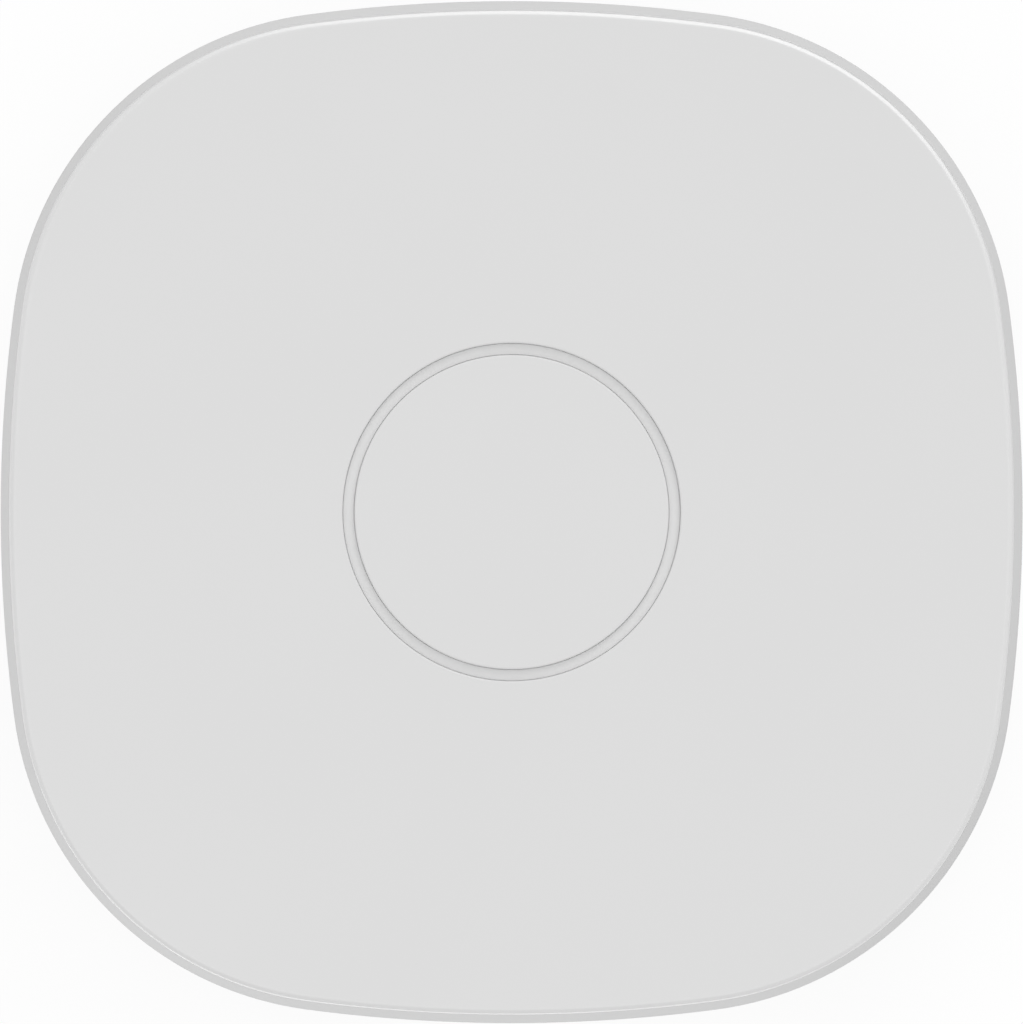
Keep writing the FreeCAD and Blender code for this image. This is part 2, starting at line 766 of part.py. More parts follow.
def add_vents(body):
    """Two rows of vent slots with round ends."""
    first = new_sketch(body, "vent_slots", "XY_Plane", "Levels.base_under")
    start = "-Sizes.vent_pitch * (Sizes.vent_columns - 1) / 2"
    for y in ("Sizes.vent_offset", "-Sizes.vent_offset"):
        draw_slot(first, start, y, "Sizes.vent_length - Sizes.vent_width", "Sizes.vent_width / 2",
                  upright=True)
    slots = pocket(body, first, "Sizes.base_floor")
    repeat_along_x(body, slots, "Sizes.vent_pitch", "Sizes.vent_columns")


# Housing: leaning side wall, bevelled rim, recessed deck, posts, bosses and socket windows

def make_housing():
    body = new_body("housing")
    low = squircles(body, "wall_foot", "Levels.wall_low", "0")
    high = squircles(body, "wall_head", "Levels.rim_low", "Sizes.wall_lean")
    loft(body, low, high)
    rim = squircles(body, "rim_foot", "Levels.rim_low", "Sizes.wall_lean")
    crest = squircles(body, "rim_crest", "Levels.crest", "Levels.crest_inset")
    loft(body, rim, crest)
    # Recess for the top cover, with a small bevel that faces inward
    bevel_low = squircles(body, "bevel_foot", "Levels.crest - Sizes.rim_bevel", "Levels.recess_inset")
    bevel_high = squircles(body, "bevel_head", "Levels.crest", "Levels.bevel_inset")
    loft(body, bevel_low, bevel_high, taken_away=True)
    recess = squircles(body, "cover_recess", "Levels.deck_top", "Levels.recess_inset")
    pocket(body, recess, "Levels.crest - Sizes.rim_bevel - Levels.deck_top")
    inside = squircles(body, "housing_inside", "Levels.wall_low", "Sizes.wall")
    pocket(body, inside, "Levels.deck_under - Levels.wall_low")
    rebate = squircles(body, "lip_rebate", "Levels.wall_low", "Sizes.lip_inset")
    pocket(body, rebate, "Sizes.lip_height")
    opening = circles(body, "deck_opening", "Levels.deck_under", [("0", "0")], "Levels.deck_opening")
    pocket(body, opening, "Sizes.deck")
    add_deck_fittings(body)
    add_windows(body)
    finish("housing", body)


def add_deck_fittings(body):
    """Closing posts, button board bosses and the light screen under the deck."""
    middle = "Levels.deck_under + Sizes.deck / 2"
    posts = circles(body, "posts", middle, POSTS, "Sizes.post_radius")
    pad(body, posts, "%s - Levels.post_seat_top" % middle, down=True)
    bosses = circles(body, "button_bosses", middle, BUTTON_BOSSES, "Sizes.button_boss_radius")
    pad(body, bosses, "%s - Levels.button_board_top" % middle, down=True)
    screen = new_sketch(body, "light_screen", "XY_Plane", middle)
    draw_circle(screen, "0", "0", "Sizes.screen_radius")
    draw_circle(screen, "0", "0", "Sizes.screen_radius + Sizes.screen_wall")
    pad(body, screen, "%s - Levels.button_board_top - Sizes.screen_gap" % middle, down=True)
    pilots = circles(body, "post_pilots", "Levels.post_seat_top", POSTS, "Sizes.post_pilot")
    pocket(body, pilots, "Sizes.post_pilot_depth")
    pilots = circles(body, "boss_pilots", "Levels.button_board_top", BUTTON_BOSSES, "Sizes.small_pilot")
    pocket(body, pilots, "Sizes.small_pilot_depth")


def add_windows(body):
    """Openings in the rear wall for the two sockets and the reset pin."""
    clear = "2 * Sizes.window_clearance"
    jack = new_sketch(body, "jack_window", "XZ_Plane", "-Levels.half")
    draw_rounded(jack, "Sizes.jack_x", "Levels.board_top + Sizes.jack_height / 2",
                 "Sizes.jack_width + " + clear, "Sizes.jack_height + " + clear, "Sizes.window_clearance")
    pocket(body, jack, "Sizes.window_reach", middle=True)
    usb = new_sketch(body, "usb_window", "XZ_Plane", "-Levels.half")
    draw_slot(usb, "Sizes.usb_x", "Levels.usb_middle", "Sizes.usb_width - Sizes.usb_height",
              "Sizes.usb_height / 2 + Sizes.usb_clearance", upright=False)
    pocket(body, usb, "Sizes.window_reach", middle=True)
    pinhole = new_sketch(body, "pinhole", "XZ_Plane", "-Levels.half")
    draw_circle(pinhole, "Sizes.reset_x", "Levels.reset_height", "Sizes.pinhole_radius")
    pocket(body, pinhole, "Sizes.window_reach", middle=True)


# Top cover and the tape that bonds it to the deck

def make_cover():
    body = new_body("top_cover")
    outline = squircles(body, "cover_outline", "Levels.cover_under", "Levels.cover_inset")
    pad(body, outline, "Sizes.cover_thickness")
    round_edges(body, edges_at(body.Shape, number("Levels.cover_top")), "Sizes.cover_edge")
    opening = circles(body, "cover_opening", "Levels.cover_under", [("0", "0")], "Levels.cover_opening")
    pocket(body, opening, "Sizes.cover_thickness")
    reach = number("Levels.cover_opening") + EDGE_TOLERANCE
    round_edges(body, edges_at(body.Shape, number("Levels.cover_top"), reach), "Sizes.opening_edge")
    finish("top_cover", body)


def make_tape():
    body = new_body("cover_tape")
    sheet_sketch = squircles(body, "tape_outline", "Levels.deck_top",
                             "Levels.cover_inset + Sizes.tape_setback")
    draw_circle(sheet_sketch, "0", "0", "Levels.deck_opening + Sizes.tape_setback")
    pad(body, sheet_sketch, "Sizes.tape_thickness")
    finish("cover_tape", body)


# Light guide: a thin ring that shows round the button, with a flange under the deck

def make_light_guide():
    body = new_body("light_guide")
    section = new_sketch(body, "ring_section", "XZ_Plane", "0")
    draw_polygon(section, [
        ("Levels.ring_inner", "Levels.ring_low"),
        ("Sizes.ring_flange_radius", "Levels.ring_low"),
        ("Sizes.ring_flange_radius", "Levels.deck_under"),
        ("Levels.ring_outer", "Levels.deck_under"),
        ("Levels.ring_outer", "Levels.ring_top - Sizes.ring_edge"),
        ("Levels.ring_outer - Sizes.ring_edge", "Levels.ring_top"),
        ("Levels.ring_inner + Sizes.ring_edge", "Levels.ring_top"),
        ("Levels.ring_inner", "Levels.ring_top - Sizes.ring_edge"),
    ])
    turn(body, section)
    finish("light_guide", body)


# Button cap: disc with a stiffening skirt, a pusher in the middle and three hooked legs

def make_button_cap():
    body = new_body("button_cap")
    section = new_sketch(body, "cap_section", "XZ_Plane", "0")
    draw_polygon(section, [
        ("0", "Levels.plunger_top + Sizes.touch_gap"),
        ("Sizes.cap_boss_radius", "Levels.plunger_top + Sizes.touch_gap"),
        ("Sizes.cap_boss_radius", "Levels.cap_under"),
        ("Sizes.skirt_radius - Sizes.skirt_wall", "Levels.cap_under"),
        ("Sizes.skirt_radius - Sizes.skirt_wall", "Levels.cap_under - Sizes.skirt_height"),
        ("Sizes.skirt_radius", "Levels.cap_under - Sizes.skirt_height"),
        ("Sizes.skirt_radius", "Levels.cap_under"),
        ("Sizes.cap_radius", "Levels.cap_under"),
        ("Sizes.cap_radius", "Levels.cover_top"),
        ("0", "Levels.cover_top"),
    ])
    turn(body, section)
    round_edges(body, edges_at(body.Shape, number("Levels.cover_top")), "Sizes.cap_edge")
    leg = new_sketch(body, "cap_leg", "XZ_Plane", "0")
    inner = "Sizes.leg_radius - Sizes.leg_thickness"
    draw_polygon(leg, [
        (inner, "Levels.cap_under + Sizes.cap_thickness / 2"),
        (inner, "Levels.hook_low"),
        ("Sizes.leg_radius + Sizes.hook_lead", "Levels.hook_low"),
        ("Sizes.leg_radius + Sizes.hook_reach", "Levels.hook_top"),
        ("Sizes.leg_radius", "Levels.hook_top"),
        ("Sizes.leg_radius", "Levels.cap_under + Sizes.cap_thickness / 2"),
    ])
    legs = pad(body, leg, "Sizes.leg_width", middle=True)
    repeat_round(body, legs, "Sizes.hook_count")
    finish("button_cap", body)


# Carrier: upside-down cup on the button board that catches the hooks and screens the lamps

def make_carrier():
    body = new_body("button_carrier")
    section = new_sketch(body, "carrier_section", "XZ_Plane", "0")
    hole = "(Sizes.switch_width / sqrt(2) + Sizes.switch_hole_clearance)"
    draw_polygon(section, [
        (hole, "Levels.roof_under"),
        ("Sizes.carrier_radius - Sizes.carrier_wall", "Levels.roof_under"),
        ("Sizes.carrier_radius - Sizes.carrier_wall", "Levels.button_board_top"),
        ("Sizes.carrier_radius", "Levels.button_board_top"),
        ("Sizes.carrier_radius", "Levels.carrier_top"),
        (hole, "Levels.carrier_top"),
    ])
    turn(body, section)
    slot = new_sketch(body, "hook_slot", "XY_Plane", "Levels.roof_under")
    inner = "(Sizes.leg_radius - Sizes.leg_thickness - Sizes.leg_flex)"
    outer = "(Sizes.leg_radius + Sizes.leg_clearance)"
    side = "(Sizes.leg_width / 2 + Sizes.leg_clearance)"
    draw_polygon(slot, [(inner, "-" + side), (outer, "-" + side), (outer, side), (inner, side)])
    slots = pocket(body, slot, "Sizes.carrier_roof")
    repeat_round(body, slots, "Sizes.hook_count")
    pegs = circles(body, "carrier_pegs", "Levels.button_board_top", PEGS, "Sizes.peg_radius")
    pad(body, pegs, "Sizes.button_board_thickness", down=True)
    finish("button_carrier", body)


# Tact switch under the cap

def make_button_switch():
    width = "Sizes.switch_width"
    shell = centred_block("switch_block", "0", "0", "Levels.button_board_top",
                          (width, width, "Sizes.switch_height"))
    well = rod("switch_well", ("0", "0", "Levels.button_board_top + Sizes.switch_floor"),
               "Sizes.plunger_radius + Sizes.plunger_fit", "Sizes.switch_height")
    finish("button_switch_body", cut("switch_case", shell, well))
    finish("button_switch_plunger", rod("switch_plunger", ("0", "0", "Levels.plunger_low"),
                                        "Sizes.plunger_radius", "Levels.plunger_top - Levels.plunger_low"))
    legs = []
    size = ("Sizes.terminal_length", "Sizes.terminal_width", "Sizes.terminal_thickness")
    for x, y in SIDES:
        middle = "%d * (%s / 2 + Sizes.terminal_length / 2)" % (x, width)
        legs.append(centred_block("switch_terminal", middle, "%d * Sizes.terminal_pitch / 2" % y,
                                  "Levels.button_board_top", size))
    finish("button_switch_terminals", group("switch_terminals", legs))


# Button board with its lamps

def make_button_board():
    body = new_body("button_board")
    outline = new_sketch(body, "button_board_outline", "XY_Plane", "Levels.button_board_under")
    width = "Sizes.button_board_width"
    draw_rounded(outline, "0", "0", width, width, "Sizes.button_board_corner")
    for x, y in BUTTON_BOSSES:
        draw_circle(outline, x, y, "Sizes.small_screw_radius + Sizes.screw_clearance")
    for x, y in PEGS:
        draw_circle(outline, x, y, "Sizes.peg_radius + Sizes.peg_clearance")
    pad(body, outline, "Sizes.button_board_thickness")
    finish("button_board", body)


def make_ring_lamps():
    lamps = []
    count = SIZES["lamp_count"]
    for index in range(count):
        heading = "(%d * 360 / %d)" % (index, count)
        lamps.append(centred_block("ring_lamp",
                                   "Levels.lamp_radius * cos(%s)" % heading,
                                   "Levels.lamp_radius * sin(%s)" % heading,
                                   "Levels.button_board_top",
                                   ("Sizes.lamp_width", "Sizes.lamp_width", "Sizes.lamp_height")))
    finish("ring_lamps", group("lamp_group", lamps))


# Screws: pan head with a cross recess and a shank. They point up or down from their seat

def screw(name, x, y, seat, head_radius, head_height, shank_radius, length, upward):
    head_low = "(%s) - (%s)" % (seat, head_height) if upward else seat
    shank_low = seat if upward else "(%s) - (%s)" % (seat, length)
    head = rod(name + "_head", (x, y, head_low), head_radius, head_height)
    shank = rod(name + "_shank", (x, y, shank_low), shank_radius, length)
    whole = join(name + "_whole", head, shank)
    cross_low = head_low if upward else "(%s) + (%s) - Sizes.cross_depth" % (seat, head_height)
    bar = ("Sizes.cross_ratio * (%s)" % head_radius, "Sizes.cross_width", "Sizes.cross_depth")
    turned_bar = (bar[1], bar[0], bar[2])
    first = centred_block(name + "_cross", x, y, cross_low, bar)
    second = centred_block(name + "_cross", x, y, cross_low, turned_bar)
    return cut(name, whole, first, second)


def make_screws():
    closing = []
    for x, y in POSTS:
        closing.append(screw("housing_screw", x, y, "Levels.post_head_top", "Sizes.post_head_radius",
                             "Sizes.post_head_height", "Sizes.post_pilot - Sizes.pilot_bite",
                             "Sizes.post_screw_length", upward=True))
    finish("housing_screws", group("housing_screw_group", closing))
    under = []
    for x, y in BUTTON_BOSSES:
        under.append(screw("button_screw", x, y, "Levels.button_board_under", "Sizes.small_head_radius",
                           "Sizes.small_head_height", "Sizes.small_pilot - Sizes.pilot_bite",
                           "Sizes.small_screw_length", upward=True))
    finish("button_board_screws", group("button_screw_group", under))
    main = []
    for x, y in BOARD_HOLES:
        main.append(screw("board_screw", x, y, "Levels.board_top", "Sizes.small_head_radius",
                          "Sizes.small_head_height", "Sizes.small_pilot - Sizes.pilot_bite",
                          "Sizes.small_screw_length", upward=False))
    finish("main_board_screws", group("board_screw_group", main))


def make_feet():
    feet = []
    for x, y in POSTS:
        pad_part = rod("foot_pad", (x, y, "Sizes.foot_bevel"), "Sizes.foot_radius",
                       "Levels.foot_top - Sizes.foot_bevel")
        tread = doc.addObject("Part::Cone", "foot_tread")
        bind(tread, "Radius1", "Sizes.foot_radius - Sizes.foot_bevel")
        bind(tread, "Radius2", "Sizes.foot_radius")
        bind(tread, "Height", "Sizes.foot_bevel")
        place(tread, x, y)
        feet.append(join("foot", pad_part, tread))
    finish("rubber_feet", group("foot_group", feet))


# Main board

def make_main_board():
    body = new_body("main_board")
    outline = squircles(body, "board_outline", "Levels.board_under", "Sizes.board_inset")
    for x, y in BOARD_HOLES:
        draw_circle(outline, x, y, "Sizes.small_screw_radius + Sizes.screw_clearance")
    pad(body, outline, "Sizes.board_thickness")
    notches = circles(body, "post_notches", "Levels.board_under", NOTCHES, "Sizes.notch_radius")
    pocket(body, notches, "Sizes.board_thickness")
    finish("main_board", body)


# Board-to-board connector: header, pins and the tall socket strip above them

def connector_grid(name, width, low, height):
    """Square bars on the connector's grid."""
    bars = []
    columns, rows = SIZES["header_columns"], SIZES["header_rows"]
    for column in range(columns):
        for row_index in range(rows):
            x = "Sizes.header_x + Sizes.header_pitch * %r" % (column - (columns - 1) / 2)
            y = "Sizes.header_y + Sizes.header_pitch * %r" % (row_index - (rows - 1) / 2)
            bars.append(centred_block(name, x, y, low, (width, width, height)))
    return bars


def make_connector():
    size_x = "Sizes.header_pitch * Sizes.header_columns"
    size_y = "Sizes.header_pitch * Sizes.header_rows"
    hole = "(Sizes.pin_width + 2 * Sizes.pin_fit)"
    strip = centred_block("header_strip", "Sizes.header_x", "Sizes.header_y", "Levels.board_top",
                          (size_x, size_y, "Sizes.header_height"))
    holes = group("header_holes", connector_grid("header_hole", hole, "Levels.board_top",
                                                 "Sizes.header_height"))
    finish("board_header", cut("header_base", strip, holes))
    tall = centred_block("socket_strip", "Sizes.header_x", "Sizes.header_y", "Levels.socket_low",
                         (size_x, size_y, "Levels.button_board_under - Levels.socket_low"))
    depth = "Sizes.pin_reach + Sizes.part_fit"
    wells = group("socket_wells", connector_grid("socket_well", hole, "Levels.socket_low", depth))
    finish("board_socket", cut("socket_body", tall, wells))
    pins = connector_grid("header_pin", "Sizes.pin_width", "Levels.board_top",
                          "Sizes.header_height + Sizes.pin_reach")
    finish("header_pins", group("pin_group", pins))


# Network socket: folded shield, moulded insert, eight spring contacts and two lamp windows

def make_jack():
    half_width = "Sizes.jack_width / 2"
    left = "Sizes.jack_x - " + half_width
    sheet_in = "Sizes.jack_sheet"
    outer = block("jack_box", (left, "Levels.jack_rear", "Levels.board_top"),
                  ("Sizes.jack_width", "Sizes.jack_length", "Sizes.jack_height"))
    inner_size = ("Sizes.jack_width - 2 * " + sheet_in, "Sizes.jack_length - 2 * " + sheet_in,
                  "Sizes.jack_height - " + sheet_in)
    inner = block("jack_inside", (left + " + " + sheet_in, "Levels.jack_rear + " + sheet_in,
                                  "Levels.board_top"), inner_size)
    face = block("jack_face_opening",
                 (left + " + Sizes.jack_frame", "Levels.jack_face - " + sheet_in, "Levels.board_top"),
                 ("Sizes.jack_width - 2 * Sizes.jack_frame", "2 * " + sheet_in,
                  "Sizes.jack_height - Sizes.jack_frame"))
    finish("ethernet_jack_shell", cut("jack_shield", outer, inner, face))
    make_jack_insert(left)
    make_jack_contacts()


def jack_lamp_corner(side):
    """Lowest corner of a lamp window, left or right of the plug opening."""
    near = "(Sizes.jack_width / 2 - Sizes.jack_lamp_side - Sizes.jack_lamp_width)"
    x = "Sizes.jack_x + " + near if side > 0 else "Sizes.jack_x - %s - Sizes.jack_lamp_width" % near
    z = "Levels.board_top + Sizes.jack_lamp_top"
    return x, "Levels.jack_face - Sizes.jack_sheet - Sizes.jack_lamp_depth", z


def make_jack_insert(left):
    fit = "Sizes.part_fit"
    sheet_in = "(Sizes.jack_sheet + %s)" % fit
    front = "Levels.jack_face - Sizes.jack_sheet"
    core = block("insert_block",
                 (left + " + " + sheet_in, "Levels.jack_rear + " + sheet_in, "Levels.board_top"),
                 ("Sizes.jack_width - 2 * " + sheet_in,
                  "Sizes.jack_length - Sizes.jack_sheet - " + sheet_in,
                  "Sizes.jack_height - " + sheet_in))
    plug = block("plug_space",
                 ("Sizes.jack_x - Sizes.plug_width / 2", front + " - Sizes.plug_depth", "Levels.plug_low"),
                 ("Sizes.plug_width", "Sizes.plug_depth + Sizes.jack_sheet", "Sizes.plug_height"))
    latch = block("latch_space",
                  ("Sizes.jack_x - Sizes.latch_width / 2", front + " - Sizes.plug_depth",
                   "Levels.plug_low - Sizes.latch_height"),
                  ("Sizes.latch_width", "Sizes.plug_depth + Sizes.jack_sheet",
                   "Sizes.latch_height + Sizes.jack_sheet"))
    pits = []
    lamps = []
    grown = ("Sizes.jack_lamp_width + 2 * " + fit, "Sizes.jack_lamp_depth + Sizes.jack_sheet",
             "Sizes.jack_lamp_height + 2 * " + fit)
    size = ("Sizes.jack_lamp_width", "Sizes.jack_lamp_depth", "Sizes.jack_lamp_height")
    for side in (-1, 1):
        x, y, z = jack_lamp_corner(side)
        pits.append(block("lamp_pit", ("%s - %s" % (x, fit), y, "%s - %s" % (z, fit)), grown))
        lamps.append(block("jack_lamp", (x, y, z), size))
    finish("ethernet_jack_insert", cut("jack_insert", core, plug, latch, *pits))
    finish("ethernet_jack_lamps", group("jack_lamp_group", lamps))


def make_jack_contacts():
    """Spring wires that slope down from the roof of the plug space towards its rear."""
    body = new_body("ethernet_jack_contacts")
    first = "Sizes.jack_x - Sizes.contact_pitch * (Sizes.contact_count - 1) / 2"
    side = new_sketch(body, "contact_side", "YZ_Plane", first)
    front = "(Levels.jack_face - Sizes.jack_sheet - Sizes.contact_start)"
    rear = "(%s - Sizes.contact_run)" % front
    draw_polygon(side, [
        (front, "Levels.plug_top"),
        (front + " - Sizes.contact_width", "Levels.plug_top"),
        (rear, "Levels.plug_top - Sizes.contact_drop"),
        (rear + " + Sizes.contact_width", "Levels.plug_top - Sizes.contact_drop - Sizes.contact_width / 2"),
        (front, "Levels.plug_top - Sizes.contact_width"),
    ])
    wire = pad(body, side, "Sizes.contact_width", middle=True)
    repeat_along_x(body, wire, "Sizes.contact_pitch", "Sizes.contact_count")
    finish("ethernet_jack_contacts", body)


# Power socket: rounded metal shell, moulded tongue and its contact strips

def make_power_socket():
    body = new_body("usb_socket_shell")
    ring = new_sketch(body, "usb_outline", "XZ_Plane", "-Levels.jack_face")
    draw_slot(ring, "Sizes.usb_x", "Levels.usb_middle", "Sizes.usb_width - Sizes.usb_height",
              "Sizes.usb_height / 2", upright=False)
    pad(body, ring, "Sizes.usb_length")
    if body.Shape.BoundBox.YMax > number("Levels.jack_face") + EDGE_TOLERANCE:
        raise ValueError("the power socket stands out of its face")
    inside = new_sketch(body, "usb_inside", "XZ_Plane", "-Levels.jack_face")
    draw_slot(inside, "Sizes.usb_x", "Levels.usb_middle", "Sizes.usb_width - Sizes.usb_height",
              "Sizes.usb_height / 2 - Sizes.usb_sheet", upright=False)
    pocket(body, inside, "Sizes.usb_length - Sizes.usb_sheet")
    finish("usb_socket_shell", body)
    root_y = "Levels.usb_rear + Sizes.usb_sheet"
    root = centred_block("tongue_root", "Sizes.usb_x", "%s + Sizes.tongue_root / 2" % root_y,
                         "Levels.usb_middle - Sizes.usb_height / 2 + Sizes.usb_sheet + Sizes.part_fit",
                         ("Sizes.usb_width - Sizes.usb_height", "Sizes.tongue_root",
                          "Sizes.usb_height - 2 * Sizes.usb_sheet - 2 * Sizes.part_fit"))
    blade = block("tongue_blade", ("Sizes.usb_x - Sizes.tongue_width / 2", root_y,
                                   "Levels.usb_middle - Sizes.tongue_thickness / 2"),
                  ("Sizes.tongue_width", "Sizes.tongue_root + Sizes.tongue_length",
                   "Sizes.tongue_thickness"))
    finish("usb_socket_tongue", join("tongue", root, blade))
    strips = []
    for column in range(SIZES["strip_count"]):
        x = "Sizes.usb_x + Sizes.strip_pitch * (%d - (Sizes.strip_count - 1) / 2)" % column
        y = root_y + " + Sizes.tongue_root + Sizes.strip_length / 2"
        size = ("Sizes.strip_width", "Sizes.strip_length", "Sizes.strip_thickness")
        for low in ("Levels.usb_middle + Sizes.tongue_thickness / 2",
                    "Levels.usb_middle - Sizes.tongue_thickness / 2 - Sizes.strip_thickness"):
            strips.append(centred_block("contact_strip", x, y, low, size))
    finish("usb_socket_contacts", group("contact_strips", strips))


# Reset switch behind its pinhole

def make_reset_switch():
    case = block("reset_case", ("Sizes.reset_x - Sizes.reset_width / 2", "Levels.reset_rear",
                                "Levels.board_top"),
                 ("Sizes.reset_width", "Sizes.reset_depth", "Sizes.reset_height"))
    well_depth = "(Sizes.reset_travel + Sizes.reset_plunger_proud)"
    well = level_rod("reset_well", ("Sizes.reset_x", "Levels.reset_face - " + well_depth,
                                    "Levels.reset_height"),
                     "Sizes.reset_plunger_radius + Sizes.plunger_fit", "Sizes.reset_depth")
    finish("reset_switch_body", cut("reset_shell", case, well))
    length = "2 * Sizes.reset_plunger_proud - Sizes.touch_gap"
    finish("reset_switch_plunger",
           level_rod("reset_plunger", ("Sizes.reset_x", "Levels.reset_tip - (%s)" % length,
                                       "Levels.reset_height"),
                     "Sizes.reset_plunger_radius", length))


# Chips, supply parts and the radio module, all standing on the main board

def make_board_parts():
    top = "Levels.board_top"
    finish("network_transformer",
           centred_block("transformer", "Sizes.jack_x",
                         "Levels.transformer_rear + Sizes.transformer_length / 2", top,
                         ("Sizes.transformer_width", "Sizes.transformer_length",
                          "Sizes.transformer_height")))
    can_y = "Levels.can_rear + Sizes.can_width / 2"
    can = centred_block("can_outer", "Sizes.jack_x", can_y, top,
                        ("Sizes.can_width", "Sizes.can_width", "Sizes.can_height"))
    inner = "Sizes.can_width - 2 * Sizes.can_sheet"
    hollow = centred_block("can_inner", "Sizes.jack_x", can_y, top,
                           (inner, inner, "Sizes.can_height - Sizes.can_sheet"))
    finish("processor_can", cut("can_shell", can, hollow))
    finish("processor_chip",
           centred_block("processor", "Sizes.jack_x", can_y, top,
                         ("Sizes.processor_width", "Sizes.processor_width", "Sizes.processor_height")))
    finish("memory_chip",
           centred_block("memory", "Levels.memory_x", "Sizes.memory_y", top,
                         ("Sizes.memory_width", "Sizes.memory_length", "Sizes.memory_height")))
    finish("network_chip",
           centred_block("network", "Sizes.network_chip_x",
                         "Levels.transformer_rear - Sizes.part_spacing - Sizes.network_chip_width / 2", top,
                         ("Sizes.network_chip_width", "Sizes.network_chip_width",
                          "Sizes.network_chip_height")))
    cans = []
    for side in (-1, 1):
        x = "Sizes.usb_x + %d * Sizes.capacitor_spacing / 2" % side
        cans.append(rod("capacitor", (x, "Levels.capacitor_y", top), "Sizes.capacitor_radius",
                        "Sizes.capacitor_height"))
    finish("storage_capacitors", group("capacitor_group", cans))
    finish("power_inductor",
           centred_block("inductor", "Sizes.usb_x", "Levels.supply_y - Sizes.inductor_width / 2", top,
                         ("Sizes.inductor_width", "Sizes.inductor_width", "Sizes.inductor_height")))
    finish("power_regulator",
           centred_block("regulator",
                         "Sizes.usb_x - Sizes.inductor_width / 2 - Sizes.part_spacing - "
                         "Sizes.regulator_width / 2",
                         "Levels.supply_y - Sizes.inductor_width / 2", top,
                         ("Sizes.regulator_width", "Sizes.regulator_width", "Sizes.regulator_height")))
    crystals = []
    for index in range(2):
        crystals.append(centred_block("crystal", "Sizes.crystal_x",
                                      "Sizes.crystal_y - %d * Sizes.crystal_spacing" % index, top,
                                      ("Sizes.crystal_width", "Sizes.crystal_length",
                                       "Sizes.crystal_height")))
    finish("timing_crystals", group("crystal_group", crystals))


def make_passives():
    chips = []
    for column in range(SIZES["passive_columns"]):
        for row_index in range(SIZES["passive_rows"]):
            x = "Sizes.passive_x + %d * Sizes.passive_pitch_x" % column
            y = "Sizes.passive_y + %d * Sizes.passive_pitch_y" % row_index
            chips.append(centred_block("passive", x, y, "Levels.board_top",
                                       ("Sizes.passive_length", "Sizes.passive_width",
                                        "Sizes.passive_height")))
    finish("small_passives", group("passive_group", chips))


def make_radio():
    top = "Levels.board_top"
    finish("zigbee_module_board",
           centred_block("module", "Sizes.module_x", "Levels.module_front + Sizes.module_length / 2", top,
                         ("Sizes.module_width", "Sizes.module_length", "Sizes.module_thickness")))
    can_y = ("Levels.module_front + Sizes.module_length - Sizes.module_can_margin - "
             "Sizes.module_can_length / 2")
    finish("zigbee_module_can",
           centred_block("module_can", "Sizes.module_x", can_y, top + " + Sizes.module_thickness",
                         ("Sizes.module_can_width", "Sizes.module_can_length",
                          "Sizes.module_can_height")))
    sheet_size = "Sizes.antenna_sheet"
    bar = block("antenna_bar", ("Sizes.antenna_x", "Levels.antenna_y",
                                top + " + Sizes.antenna_height - Sizes.antenna_bar"),
                ("Sizes.antenna_length", sheet_size, "Sizes.antenna_bar"))
    legs = []
    for index in range(2):
        x = "Sizes.antenna_x + %d * (Sizes.antenna_leg + Sizes.antenna_leg_gap)" % index
        legs.append(block("antenna_leg", (x, "Levels.antenna_y", top),
                          ("Sizes.antenna_leg", sheet_size, "Sizes.antenna_height")))
    finish("zigbee_antenna", join("antenna", bar, *legs))


for make in (make_base, make_housing, make_cover, make_tape, make_light_guide, make_button_cap,
             make_carrier, make_button_switch, make_button_board, make_ring_lamps, make_screws,
             make_feet, make_main_board, make_connector, make_jack, make_power_socket,
             make_reset_switch, make_board_parts, make_passives, make_radio):
    make()
doc.recompute()

for thing in doc.Objects:
    if "Invalid" in thing.State or "Error" in thing.State:
        raise ValueError("%s did not build: %s" % (thing.Name, thing.State))
for name, thing in SUBPARTS.items():
    if thing.Shape.isNull() or not thing.Shape.isValid():
        raise ValueError("%s has no sound shape" % name)

os.makedirs("parts", exist_ok=True)
for name, thing in SUBPARTS.items():
    thing.Shape.exportStep("parts/%s.step" % name)
    box = thing.Shape.BoundBox
    print("%-24s %2d solids %9.1f mm3  z %6.2f to %6.2f" % (
        name, len(thing.Shape.Solids), thing.Shape.Volume, box.ZMin, box.ZMax))
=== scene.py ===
# %% [markdown]
# # A home radio gateway, seen from above
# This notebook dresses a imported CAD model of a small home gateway: a low puck with a
# rounded-square outline, a flat top plate, and one round button inside a thin light ring.
# The CAD model is the frame. It says where everything is, and every piece made here is
# in metres in the same frame, so nothing has to be fitted afterwards.

# %% Load the frame
import json
import math

import bmesh
import bpy
from mathutils import Matrix, Vector


